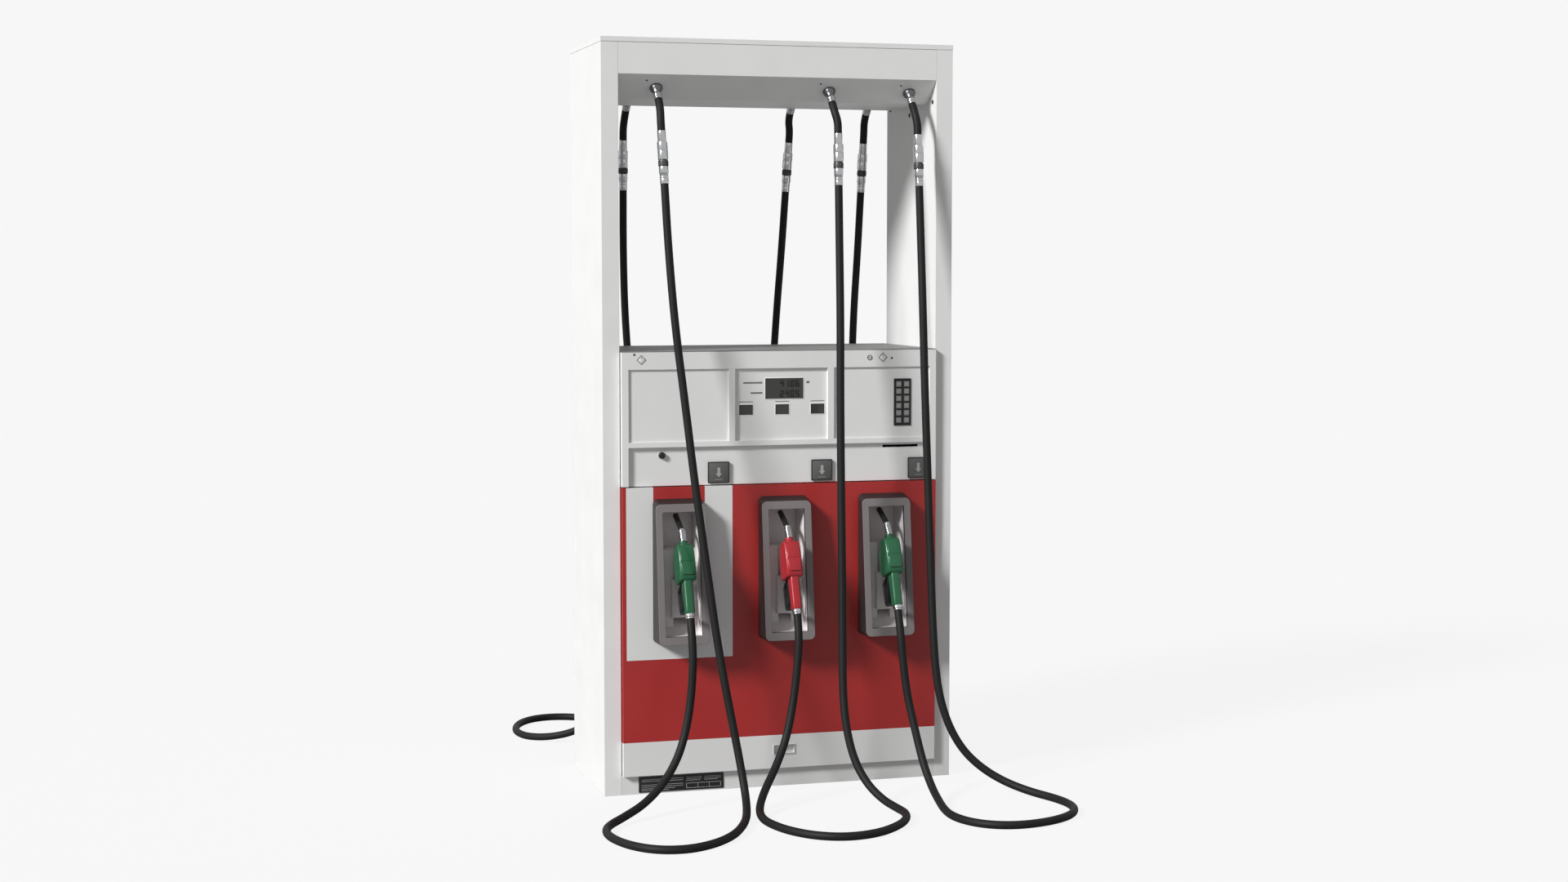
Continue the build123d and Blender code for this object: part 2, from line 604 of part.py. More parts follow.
# Finger pulls: a rimmed cup let into each door
with BuildPart() as door_pull:
    with BuildSketch(front_plane(PANEL_Y)):
        with Locations(PULL[:2]):
            Rectangle(PULL[2] + 2 * PULL_RIM, PULL[3] + 2 * PULL_RIM)
    extrude(amount=PULL_STAND_OUT)
    with BuildSketch(front_plane(PANEL_Y)):
        with Locations(PULL[:2]):
            Rectangle(PULL[2] + 2 * SHEET, PULL[3] + 2 * SHEET)
    extrude(amount=-(PULL_DEPTH + SHEET))
    with BuildSketch(front_plane(PANEL_Y + PULL_STAND_OUT)):
        with Locations(PULL[:2]):
            Rectangle(*PULL[2:])
    extrude(amount=-(PULL_DEPTH + PULL_STAND_OUT), mode=Mode.SUBTRACT)
save("door_pulls", both_sides(door_pull.part))

# Nozzle holders

pod_top_front = PANEL_Y + POD_TOP_DEPTH
pod_bottom_front = PANEL_Y + POD_BOTTOM_DEPTH
pod_face_top = POD_TOP - POD_TOP_FALL


def pod_face_y(z):
    """The distance of the holder's leaning front face in front of the origin, at a height z."""
    down = (pod_face_top - z) / (pod_face_top - POD_BOTTOM_FRONT)
    return pod_top_front + down * (pod_bottom_front - pod_top_front)


def pocket_floor_z(y):
    """The height of the pocket's sloping floor at a distance y in front of the origin."""
    rise = (POCKET_FLOOR_BACK - MOUTH_BOTTOM) / (PANEL_Y + POCKET_SLOPE_START - POCKET_BACK)
    return POCKET_FLOOR_BACK - (y - POCKET_BACK) * rise


def pod(x):
    """One moulded holder: a leaning framed front, and a deep tray that runs through the door. The tray's
    upper part takes the spout; below it a hollow block with a channel and a rest plate backs the guard."""
    outline = [
        (-PANEL_Y - CLEAR, POD_TOP),
        (-pod_top_front, pod_face_top),
        (-pod_bottom_front, POD_BOTTOM_FRONT),
        (-PANEL_Y - CLEAR, POD_BOTTOM_BACK),
    ]
    tray = [
        (-pod_face_y(tray_z[1]) + TRAY_LAP, tray_z[1]),
        (-pod_face_y(tray_z[0]) + TRAY_LAP, tray_z[0]),
        (-PANEL_Y - POCKET_SLOPE_START, tray_z[0]),
        (-POCKET_BACK + POD_WALL, POCKET_FLOOR_BACK - POD_WALL),
        (-POCKET_BACK + POD_WALL, tray_z[1]),
    ]
    mouth = [
        (-POCKET_BACK, POCKET_TOP),
        (-pod_face_y(POCKET_TOP) + POD_WALL, POCKET_TOP),
        (-pod_face_y(MOUTH_TOP) + POD_WALL, MOUTH_TOP),
        (-pod_bottom_front - POD_WALL, MOUTH_TOP),
        (-pod_bottom_front - POD_WALL, MOUTH_BOTTOM),
        (-PANEL_Y - POCKET_SLOPE_START, MOUTH_BOTTOM),
    ]
    channel = [*mouth, (-POCKET_BACK, POCKET_FLOOR_BACK)]
    pocket = [
        *mouth,
        (-REST_OUT, pocket_floor_z(REST_OUT)),
        (-REST_OUT, REST_TOP),
        (-POCKET_BACK, REST_TOP),
    ]
    block_front = REST_OUT - POD_WALL
    block_back = POCKET_BACK - 2 * POD_WALL
    block_hollow = [
        (-block_front, pocket_floor_z(block_front)),
        (-block_front, REST_TOP - POD_WALL),
        (-block_back, REST_TOP - POD_WALL),
        (-block_back, pocket_floor_z(block_back)),
    ]
    pocket_x = tray_x - POD_WALL
    with BuildPart() as holder:
        with BuildSketch(Plane.YZ.offset(x - POD_WIDTH / 2)):
            Polygon(*outline, align=None)
        extrude(amount=POD_WIDTH)
        corners = holder.edges().filter_by(lambda edge: abs(edge.tangent_at(0.5).Y) > 0.8)
        fillet(corners, POD_CORNER)
        offset(amount=-POD_WALL, openings=holder.faces().sort_by(Axis.Y)[-1])
        with BuildSketch(Plane.YZ.offset(x - tray_x)):
            Polygon(*tray, align=None)
        extrude(amount=2 * tray_x)
        with BuildSketch(Plane.YZ.offset(x - pocket_x)):
            Polygon(*pocket, align=None)
        extrude(amount=2 * pocket_x, mode=Mode.SUBTRACT)
        with BuildSketch(Plane.YZ.offset(x + CHANNEL[0])):
            Polygon(*channel, align=None)
        extrude(amount=CHANNEL[1] - CHANNEL[0], mode=Mode.SUBTRACT)
        for low_x, high_x in ((-pocket_x, CHANNEL[0] - POD_WALL), (CHANNEL[1] + POD_WALL, pocket_x)):
            with BuildSketch(Plane.YZ.offset(x + low_x)):
                Polygon(*block_hollow, align=None)
            extrude(amount=high_x - low_x, mode=Mode.SUBTRACT)
        with BuildSketch(front_plane(REST_PLATE_OUT)):
            with Locations((x + sum(REST_PLATE) / 2, sum(REST_PLATE_Z) / 2)):
                Rectangle(REST_PLATE[1] - REST_PLATE[0], REST_PLATE_Z[1] - REST_PLATE_Z[0])
        extrude(amount=-(REST_PLATE_OUT - block_front))
    return holder.part


pods = Compound(children=[solid for x in POD_X for solid in pod(x).solids()])
save_pair("nozzle_holders", pods)


# Nozzles and triggers


def nozzle_plane(x):
    """The nozzle's own plane: its origin at the hose end, x along v and y along u."""
    return Plane(origin=(x, *NOZZLE_END), x_dir=HANDLE_IN, z_dir=(1, 0, 0))


SPOUT_PATH = [(SPOUT_ROOT_V, COVER_TOP)]
for bend, run in zip(SPOUT_BENDS, SPOUT_RUNS):
    last_v, last_u = SPOUT_PATH[-1]
    SPOUT_PATH.append((last_v + run * sin(radians(bend)), last_u + run * cos(radians(bend))))


def nozzle_collar(plane):
    """The swivel collar that takes the hose."""
    with BuildPart() as collar:
        with BuildSketch(Plane(origin=plane.origin, x_dir=(1, 0, 0), z_dir=HANDLE_UP)):
            Circle(COLLAR_R)
        extrude(amount=COLLAR_LENGTH)
    return collar.part


def nozzle_body(plane):
    """Handle, scuff cover and trigger guard, as one shell."""
    handle_top = COVER_BOTTOM + 8
    handle = [(-17, COLLAR_LENGTH), (17, COLLAR_LENGTH), (20, handle_top), (-20, handle_top)]
    cover = [
        (-24, COVER_BOTTOM), (46, COVER_BOTTOM + 2), (58, COVER_BOTTOM + 32), (53, 190),
        (30, COVER_TOP - 6), (14, COVER_TOP), (-18, COVER_TOP), (-27, 218), (-32, 172), (-31, 146),
    ]
    guard_outer = [
        (15, COLLAR_LENGTH + 2), (78, 30), (90, 44), (88, 104), (44, COVER_BOTTOM + 12), (15, 100),
    ]
    guard_inner = [(18, 29), (73, 36), (84, 47), (83, 99), (46, COVER_BOTTOM), (18, COVER_BOTTOM)]
    with BuildPart() as body:
        with BuildSketch(plane):
            Polygon(*guard_outer, align=None)
            Polygon(*guard_inner, align=None, mode=Mode.SUBTRACT)
        extrude(amount=GUARD_HALF, both=True)
        with BuildSketch(plane):
            Polygon(*handle, align=None)
        extrude(amount=HANDLE_HALF, both=True)
        with BuildSketch(plane):
            Polygon(*cover, align=None)
        extrude(amount=COVER_HALF, both=True)
        slot_v, slot_u = TRIGGER_PIVOT
        with BuildSketch(plane):
            with Locations(TRIGGER_PIVOT):
                Circle(TRIGGER_THICKNESS + 3)
            Polygon((slot_v - 9, slot_u), (slot_v + 30, slot_u), (slot_v + 30, 90), (21, 90), align=None)
        extrude(amount=TRIGGER_HALF + CLEAR, both=True, mode=Mode.SUBTRACT)
        with BuildSketch(plane):
            with Locations(TRIGGER_PIVOT):
                Circle(TRIGGER_PIN_R + RUN)
        extrude(amount=COVER_HALF - NOZZLE_WALL, both=True, mode=Mode.SUBTRACT)
        bend = radians(SPOUT_BENDS[0])
        spout_way = plane.x_dir * sin(bend) + plane.y_dir * cos(bend)
        with BuildSketch(Plane(origin=plane.from_local_coords(Vector(*SPOUT_PATH[0], 0)), z_dir=spout_way)):
            Circle(SPOUT_R)
        extrude(amount=SPOUT_R, mode=Mode.SUBTRACT)
    return body.part


def nozzle_spout(plane):
    """The bent outlet tube, with an open end."""
    with BuildPart() as spout:
        with BuildLine(plane):
            route = FilletPolyline(*SPOUT_PATH, radius=SPOUT_BEND_R)
        with BuildSketch(Plane(origin=route @ 0, z_dir=route % 0)):
            Circle(SPOUT_R)
            Circle(SPOUT_R - SPOUT_WALL, mode=Mode.SUBTRACT)
        sweep()
    return spout.part


def nozzle_trigger(plane):
    """The lever inside the guard, with its pivot pin."""
    pivot_v, pivot_u = TRIGGER_PIVOT
    tip = (pivot_v + 22, pivot_u - TRIGGER_LENGTH)
    half = TRIGGER_THICKNESS / 2
    with BuildPart() as trigger:
        with BuildSketch(plane):
            with Locations(TRIGGER_PIVOT):
                Circle(TRIGGER_THICKNESS)
            with BuildLine():
                Polyline(
                    (pivot_v - half, pivot_u), (pivot_v + 6, pivot_u - 40), (tip[0] - half, tip[1]),
                    (tip[0] + half, tip[1]), (pivot_v + 13, pivot_u - 38), (pivot_v + half + 2, pivot_u),
                    close=True,
                )
            make_face()
        extrude(amount=TRIGGER_HALF, both=True)
        with BuildSketch(plane):
            with Locations(TRIGGER_PIVOT):
                Circle(TRIGGER_PIN_R)
        extrude(amount=COVER_HALF - NOZZLE_WALL - CLEAR, both=True)
    return trigger.part


for name, x in zip(("left", "mid", "right"), POD_X):
    plane = nozzle_plane(x)
    pieces = [nozzle_collar(plane), nozzle_body(plane), nozzle_spout(plane)]
    save_pair(f"nozzle_{name}", Compound(children=[solid for piece in pieces for solid in piece.solids()]))
    save_pair(f"trigger_{name}", nozzle_trigger(plane))
for label, (v, u) in (("spout tip", SPOUT_PATH[-1]), ("trigger pivot", TRIGGER_PIVOT)):
    place = nozzle_plane(0).from_local_coords(Vector(v, u, 0))
    print(f"{label}: y {place.Y:.2f}, z {place.Z:.2f}")


# Hoses


def corner_radii(points):
    """The largest arcs that the runs of a route allow, one for each inner point."""
    radii = []
    for before, here, after in zip(points, points[1:], points[2:]):
        run_in = here - before
        run_out = after - here
        turn = radians(run_in.get_angle(run_out))
        radii.append(0.45 * min(run_in.length, run_out.length) / tan(turn / 2))
    return radii


def tube(name, points):
    """A round hose along a route of straight runs joined by tangent arcs."""
    radii = corner_radii(points)
    with BuildPart() as hose:
        with BuildLine():
            route = FilletPolyline(*points, radius=radii)
        with BuildSketch(Plane(origin=route @ 0, z_dir=route % 0)):
            Circle(HOSE_R)
        sweep()
    exact = pi * HOSE_R**2 * route.length
    print(
        f"{name}: {route.length:.0f} mm, smallest radius {min(radii):.0f} mm, "
        f"volume {hose.part.volume / exact:.4f} of its section times its length"
    )
    return hose.part


def turned(plane, steps):
    """A turned piece along the plane's normal, from a list of radii and lengths."""
    with BuildPart() as piece:
        height = 0.0
        for radius, length in steps:
            with BuildSketch(plane.offset(height)):
                Circle(radius)
            extrude(amount=length)
            height += length
    return piece.part


def swivel(x):
    """A hose swivel: a bell on the slope, a neck, and a tail through the canopy sheet."""
    bell = [
        (0, -SWIVEL_TAIL), (SWIVEL_BORE_R, -SWIVEL_TAIL), (SWIVEL_BORE_R, 0), (SWIVEL_R, 0),
        (SWIVEL_R, 6), (SWIVEL_BORE_R, 26), (10.5, 32), (HOSE_R, 34), (HOSE_R, SWIVEL_LENGTH),
        (0, SWIVEL_LENGTH),
    ]
    plane = slope_plane(x, -1)
    section = Plane(origin=plane.origin, x_dir=(1, 0, 0), z_dir=-plane.y_dir)
    with BuildPart() as piece:
        with BuildSketch(section):
            Polygon(*bell, align=None)
        revolve(axis=Axis(plane.origin, plane.z_dir))
    return piece.part


swivels = []
breakaways = []
for (name, points), pod_x, swivel_x in zip(ROUTES.items(), POD_X, SWIVEL_X):
    hose_end = Vector(pod_x, *NOZZLE_END)
    route = [Vector(*point) for point in points] + [hose_end - HANDLE_UP * NOZZLE_RUN, hose_end]
    hang = (route[0] - route[1]).normalized()
    breakaway_top = route[0] + hang * BREAKAWAY_LENGTH
    outlet = slope_plane(swivel_x, -1)
    whip_top = outlet.origin + outlet.z_dir * SWIVEL_LENGTH
    whip = [
        whip_top,
        whip_top + outlet.z_dir * WHIP_START,
        breakaway_top + hang * WHIP_END,
        breakaway_top,
    ]
    swivels += swivel(swivel_x).solids()
    breakaways += turned(Plane(origin=breakaway_top, z_dir=-hang), BREAKAWAY_STEPS).solids()
    hose = Compound(children=[*tube(f"{name} whip", whip).solids(), *tube(f"{name} hose", route).solids()])
    save_pair(f"hose_{name}", hose)
save("hose_swivels", both_sides(Compound(children=swivels)))
save("breakaways", both_sides(Compound(children=breakaways)))


# Power and fuel handling

# Motor: a foot-mounted can with end bells, a terminal box and a front bearing
motor_front = PULLEY_Y + MOTOR_GAP
with BuildPart() as motor:
    with BuildSketch(front_plane(-motor_front)):
        with Locations((0, MOTOR_AXIS_Z)):
            Circle(MOTOR_R)
    extrude(amount=-MOTOR_LENGTH)
    with BuildSketch(Plane.XY.offset(BASE_HEIGHT)):
        with GridLocations(0, 2 * RAIL_Y, 1, 2):
            Rectangle(*MOTOR_FOOT)
    extrude(amount=MOTOR_AXIS_Z - BASE_HEIGHT - MOTOR_R / 2)
    with BuildSketch(Plane.XY.offset(MOTOR_AXIS_Z)):
        Rectangle(*TERMINAL_BOX[:2])
    extrude(amount=MOTOR_R + TERMINAL_BOX[2])
    with BuildSketch(front_plane(-motor_front)):
        with Locations((0, MOTOR_AXIS_Z)):
            Circle(SHAFT_R + RUN)
    extrude(amount=-BEARING_DEPTH, mode=Mode.SUBTRACT)
save("motor", motor.part)


def pump_unit(x):
    """A vane pump casting with a bearing for its shaft and an air separator on top."""
    with BuildPart() as pump:
        with BuildSketch(Plane.XY.offset(BASE_HEIGHT)):
            with Locations((x, 0)):
                Rectangle(*PUMP_SIZE[:2])
        extrude(amount=PUMP_SIZE[2])
        fillet(pump.edges().filter_by(Axis.Z), PUMP_CORNER)
        with BuildSketch(Plane.XY.offset(BASE_HEIGHT + PUMP_SIZE[2])):
            with Locations((x, 0)):
                Circle(SEPARATOR_R)
        extrude(amount=SEPARATOR_HEIGHT)
        with BuildSketch(front_plane(PUMP_SIZE[1] / 2)):
            with Locations((x, PUMP_AXIS_Z)):
                Circle(PUMP_BOSS[0])
        extrude(amount=PUMP_BOSS[1])
        with BuildSketch(front_plane(PUMP_SIZE[1] / 2 + PUMP_BOSS[1])):
            with Locations((x, PUMP_AXIS_Z)):
                Circle(SHAFT_R + RUN)
        extrude(amount=-BEARING_DEPTH, mode=Mode.SUBTRACT)
    return pump.part


pump_units = [solid for x in (-PUMP_X, PUMP_X) for solid in pump_unit(x).solids()]
save("pump_units", Compound(children=pump_units))

row_step = (GROOVE + PULLEY_LIP_WIDTH) / 2
belt_rows = {-PUMP_X: PULLEY_Y - row_step, PUMP_X: PULLEY_Y + row_step}


def pulley(x, z, radius, rows, shaft_end):
    """A grooved pulley for one belt in each row, on a shaft that ends shaft_end behind the origin."""
    front = min(rows) - GROOVE / 2 - PULLEY_LIP_WIDTH
    width = max(rows) - min(rows) + GROOVE + 2 * PULLEY_LIP_WIDTH
    with BuildPart() as wheel:
        with BuildSketch(front_plane(-front)):
            with Locations((x, z)):
                Circle(radius + PULLEY_LIP)
        extrude(amount=-width)
        for row in rows:
            with BuildSketch(front_plane(-row + GROOVE / 2)):
                with Locations((x, z)):
                    Circle(radius + PULLEY_LIP + 1)
                    Circle(radius, mode=Mode.SUBTRACT)
            extrude(amount=-GROOVE, mode=Mode.SUBTRACT)
        with BuildSketch(front_plane(-front)):
            with Locations((x, z)):
                Circle(SHAFT_R)
        extrude(amount=front - shaft_end)
    return wheel.part


def belt(x, row):
    """A flat-sided belt from the motor's pulley to one pump's pulley."""
    loops = []
    for grow in (CLEAR + BELT_HEIGHT, CLEAR):
        with BuildSketch(front_plane(-row + BELT_WIDTH / 2)) as loop:
            with Locations((0, MOTOR_AXIS_Z)):
                Circle(DRIVE_R + grow)
            with Locations((x, PUMP_AXIS_Z)):
                Circle(DRIVEN_R + grow)
            make_hull()
        loops.append(loop.sketch)
    with BuildPart() as band:
        extrude(loops[0] - loops[1], amount=-BELT_WIDTH)
    return band.part


motor_bearing = motor_front + BEARING_DEPTH - SHAFT_END_GAP
pump_bearing = -PUMP_SIZE[1] / 2 - PUMP_BOSS[1] + BEARING_DEPTH - SHAFT_END_GAP
save("drive_pulley", pulley(0, MOTOR_AXIS_Z, DRIVE_R, list(belt_rows.values()), motor_bearing))
save("left_pump_pulley", pulley(-PUMP_X, PUMP_AXIS_Z, DRIVEN_R, [belt_rows[-PUMP_X]], pump_bearing))
save("right_pump_pulley", pulley(PUMP_X, PUMP_AXIS_Z, DRIVEN_R, [belt_rows[PUMP_X]], pump_bearing))
belts = [solid for x, row in belt_rows.items() for solid in belt(x, row).solids()]
save("drive_belts", Compound(children=belts))

# Meters: one for each hose, hung under the vapour barrier, each with a pulser on its side
with BuildPart() as meters:
    with BuildSketch(Plane.XY.offset(SHELF_HEIGHT - METER_SIZE[2])):
        with Locations(*[(x, side * METER_Y) for x in POD_X for side in (-1, 1)]):
            Rectangle(*METER_SIZE[:2])
    extrude(amount=METER_SIZE[2])
    fillet(meters.edges().filter_by(Axis.Z), METER_CORNER)
    for x in POD_X:
        with BuildSketch(Plane.YZ.offset(x - METER_SIZE[0] / 2 - PULSER[2])):
            with Locations(*[(side * METER_Y, SHELF_HEIGHT - METER_SIZE[2] / 2) for side in (-1, 1)]):
                Rectangle(*PULSER[:2])
        extrude(amount=PULSER[2])
save("meters", meters.part)


def pipe(points, radius=PIPE_R, bend=PIPE_BEND):
    """A bent steel pipe, with its own wall."""
    with BuildPart() as bent:
        with BuildLine():
            route = FilletPolyline(*points, radius=bend)
        with BuildSketch(Plane(origin=route @ 0, z_dir=route % 0)):
            Circle(radius)
            Circle(radius - PIPE_WALL, mode=Mode.SUBTRACT)
        sweep()
    return bent.part


def rod(start, end, radius=PIPE_R):
    """A straight length of pipe, joined to what it meets."""
    run = Vector(*end) - Vector(*start)
    with BuildSketch(Plane(origin=start, z_dir=run)) as section:
        Circle(radius)
    extrude(section.sketch, amount=run.length)


meter_foot = SHELF_HEIGHT - METER_SIZE[2]
in_y, out_y = (METER_Y + step for step in METER_PORT_STEPS)
header_left, header_right = HEADER_LEVELS
riser_level, mid_riser_level = RISER_LEVELS
pump_top = BASE_HEIGHT + PUMP_SIZE[2] + SEPARATOR_HEIGHT

# Manifolds: each pump's delivery, branched to the meters of its own fuel
with BuildPart() as left_manifold:
    rod((-PUMP_X, 0, pump_top), (-PUMP_X, 0, header_left), BRANCH_R)
    rod((POD_X[0] - 2 * HEADER_R, 0, header_left), (POD_X[2] + 2 * HEADER_R, 0, header_left), HEADER_R)
    for x in (POD_X[0], POD_X[2]):
        rod((x, -in_y - HEADER_R, header_left), (x, in_y + HEADER_R, header_left), BRANCH_R)
        for side in (-1, 1):
            rod((x, side * in_y, header_left), (x, side * in_y, meter_foot), PIPE_R)
with BuildPart() as right_manifold:
    rod((PUMP_X, 0, pump_top), (PUMP_X, 0, header_right), BRANCH_R)
    rod((PUMP_X + 2 * HEADER_R, 0, header_right), (POD_X[1] - 2 * HEADER_R, 0, header_right), HEADER_R)
    rod((POD_X[1], -in_y - HEADER_R, header_right), (POD_X[1], in_y + HEADER_R, header_right), BRANCH_R)
    for side in (-1, 1):
        rod((POD_X[1], side * in_y, header_right), (POD_X[1], side * in_y, meter_foot), PIPE_R)

# Risers: from each meter, out to a column, up it, along the canopy and down to a swivel
riser_x = (COLUMN_IN + COLUMN_OUT) / 2
riser_runs = [
    (POD_X[0], SWIVEL_X[0], -riser_x, out_y, riser_level, 1),
    (POD_X[1], SWIVEL_X[1], -riser_x, MID_RISER_Y, mid_riser_level, 1),
    (POD_X[2], SWIVEL_X[2], riser_x, out_y, riser_level, 1),
    (POD_X[0], SWIVEL_X[0], -riser_x, out_y, riser_level, -1),
    (POD_X[1], SWIVEL_X[1], riser_x, MID_RISER_Y, mid_riser_level, -1),
    (POD_X[2], SWIVEL_X[2], riser_x, out_y, riser_level, -1),
]
risers = []
for meter_x, swivel_x, column, y, low, front in riser_runs:
    outlet = slope_plane(swivel_x, -1)
    tail = outlet.origin - outlet.z_dir * SWIVEL_TAIL
    start_y = y if y == out_y else out_y - MID_RISER_LAG
    high_point = Vector(swivel_x, -start_y, tail.Z - (start_y + tail.Y) / outlet.z_dir.Y * outlet.z_dir.Z)
    points = [Vector(meter_x, -out_y, meter_foot), Vector(meter_x, -out_y, low)]
    if y != out_y:
        aside = meter_x + (MID_RISER_STEP if column > 0 else -MID_RISER_STEP)
        points += [Vector(aside, -out_y, low), Vector(aside, -y, low)]
    points += [Vector(column, -y, low), Vector(column, -y, high_point.Z)]
    if y != start_y:
        points.append(Vector(swivel_x, -y, high_point.Z))
    points += [high_point, tail]
    riser = pipe(points)
    risers += (riser if front == 1 else mirror(riser, about=Plane.XZ)).solids()

pipework = [*left_manifold.part.solids(), *right_manifold.part.solids(), *risers]
save("pipework", Compound(children=pipework))

# Suction stubs, from the floor up to each pump
with BuildPart() as inlet_pipes:
    with BuildSketch():
        with Locations((-PUMP_X, 0), (PUMP_X, 0)):
            Circle(INLET_R)
            Circle(INLET_R - INLET_WALL, mode=Mode.SUBTRACT)
    extrude(amount=BASE_HEIGHT)
save("inlet_pipes", inlet_pipes.part)

# Control box: a lidded case on the vapour barrier
with BuildPart() as control_box:
    with BuildSketch(Plane.XY.offset(SHELF_HEIGHT + PLATE)):
        Rectangle(*CONTROL_BOX[:2])
    extrude(amount=CONTROL_BOX[2])
    offset(amount=-SHEET, openings=control_box.faces().sort_by(Axis.Z)[-1])
    with BuildSketch(Plane.XY.offset(SHELF_HEIGHT + PLATE + CONTROL_BOX[2])):
        Rectangle(CONTROL_BOX[0] + 2 * CONTROL_LID_LAP, CONTROL_BOX[1] + 2 * CONTROL_LID_LAP)
    extrude(amount=SHEET)
save("control_box", control_box.part)
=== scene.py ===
"""A two-sided fuel dispenser with six hoses: the looks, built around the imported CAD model.

Sizes are in millimetres and turned to metres where a piece is made. A detail on a panel is modelled as
someone standing in front of it sees it: X to the right, Y into the panel, Z up.
"""

import math

import bpy
from mathutils import Matrix, Vector


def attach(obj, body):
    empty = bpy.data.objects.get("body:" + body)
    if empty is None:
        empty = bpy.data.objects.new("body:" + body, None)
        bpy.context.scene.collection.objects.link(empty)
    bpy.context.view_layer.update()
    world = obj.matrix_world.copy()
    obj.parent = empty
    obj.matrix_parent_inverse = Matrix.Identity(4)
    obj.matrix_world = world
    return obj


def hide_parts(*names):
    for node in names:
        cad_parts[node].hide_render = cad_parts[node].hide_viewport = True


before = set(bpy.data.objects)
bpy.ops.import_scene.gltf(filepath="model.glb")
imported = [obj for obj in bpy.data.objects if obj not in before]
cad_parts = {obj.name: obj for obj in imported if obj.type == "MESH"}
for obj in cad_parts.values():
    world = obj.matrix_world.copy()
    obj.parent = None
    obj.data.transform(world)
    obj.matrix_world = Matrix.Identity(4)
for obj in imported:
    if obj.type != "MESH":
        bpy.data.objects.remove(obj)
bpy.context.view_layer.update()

# Camera and studio
# A long lens at chest height, turned a little to the right, as for a catalogue picture. A low sun-like key
# comes from the left, and a pale room fills the rest, so that the fronts are half lit and left faces glow.
CAMERA_PLACE = (-2.03817, -7.41098, 1.65819)
CAMERA_TILT = 0.0747573
CAMERA_TURN = 0.278709
LENS_MM = 54.415
camera_data = bpy.data.cameras.new("camera")
camera_data.lens = LENS_MM
camera_data.sensor_width = 36
camera = bpy.data.objects.new("camera", camera_data)
camera.location = CAMERA_PLACE
camera.rotation_euler = (math.pi / 2 - CAMERA_TILT, 0, -CAMERA_TURN)
bpy.context.collection.objects.link(camera)
bpy.context.scene.camera = camera
bpy.context.scene.view_settings.view_transform = "Standard"

KEY_TRAVEL = Vector((2.0, 1.0, -1.35))
KEY_STRENGTH = 4.05
KEY_SPREAD = math.radians(12)
key_data = bpy.data.lights.new("key_light", "SUN")
key_data.energy = KEY_STRENGTH
key_data.angle = KEY_SPREAD
key_light = bpy.data.objects.new("key_light", key_data)
key_light.rotation_euler = KEY_TRAVEL.to_track_quat("-Z", "Y").to_euler()
bpy.context.collection.objects.link(key_light)


def add_node(tree, kind, settings=None, links=None):
    """Add one shader node; settings are its properties and socket values, links what its sockets read."""
    node = tree.nodes.new(kind)
    for name, value in (settings or {}).items():
        if isinstance(name, int) or name in node.inputs:
            node.inputs[name].default_value = value
        else:
            setattr(node, name, value)
    for socket, source in (links or {}).items():
        tree.links.new(source, node.inputs[socket])
    return node


def linear(colour, alpha=1.0):
    """An sRGB hex colour as linear numbers."""
    parts = [int(colour[i : i + 2], 16) / 255 for i in (1, 3, 5)]
    return [c / 12.92 if c <= 0.04045 else ((c + 0.055) / 1.055) ** 2.4 for c in parts] + [alpha]


SEEN_WHITE = linear("#F7F7F7")
ROOM_FILL = 0.28
ROOM_GLOSS = 0.62
world = bpy.data.worlds.new("studio")
bpy.context.scene.world = world
world.use_nodes = True
tree = world.node_tree
tree.nodes.clear()
rays = add_node(tree, "ShaderNodeLightPath")
fill = add_node(tree, "ShaderNodeMix", {2: ROOM_FILL, 3: ROOM_GLOSS}, {0: rays.outputs["Is Glossy Ray"]})
seen = add_node(
    tree, "ShaderNodeMix", {3: SEEN_WHITE[0]}, {0: rays.outputs["Is Camera Ray"], 2: fill.outputs[0]}
)
room = add_node(tree, "ShaderNodeBackground", {"Color": (1, 1, 1, 1)}, {"Strength": seen.outputs[0]})
add_node(tree, "ShaderNodeOutputWorld", links={"Surface": room.outputs[0]})

# Floor
# A seamless pale studio floor, bright enough to run into the backdrop and to keep only soft shadows.
FLOOR_SIZE = 60
bpy.ops.object.select_all(action="DESELECT")
bpy.ops.mesh.primitive_plane_add(size=FLOOR_SIZE, location=(0, 0, -0.0005))
floor = bpy.context.object
floor.name = "studio_floor"
paper = bpy.data.materials.new("matt_backdrop_paper")
paper.use_nodes = True
tree = paper.node_tree
tree.nodes.clear()
rays = add_node(tree, "ShaderNodeLightPath")
SEEN_SHARE, BOUNCE_SHARE, SEEN_GLOW = 0.06, 0.38, 0.875
paper_tone = add_node(
    tree, "ShaderNodeMix",
    {"data_type": "RGBA", 6: (BOUNCE_SHARE,) * 3 + (1,), 7: (SEEN_SHARE,) * 3 + (1,)},
    {0: rays.outputs["Is Camera Ray"]},
)
lit = add_node(tree, "ShaderNodeBsdfDiffuse", links={"Color": paper_tone.outputs[2]})
glow_level = add_node(
    tree, "ShaderNodeMath", {"operation": "MULTIPLY", 1: SEEN_GLOW}, {0: rays.outputs["Is Camera Ray"]}
)
glow = add_node(tree, "ShaderNodeEmission", {"Color": (1, 1, 1, 1)}, {"Strength": glow_level.outputs[0]})
both = add_node(tree, "ShaderNodeAddShader", links={0: lit.outputs[0], 1: glow.outputs[0]})
add_node(tree, "ShaderNodeOutputMaterial", links={"Surface": both.outputs[0]})
floor.data.materials.append(paper)
MM = 0.001


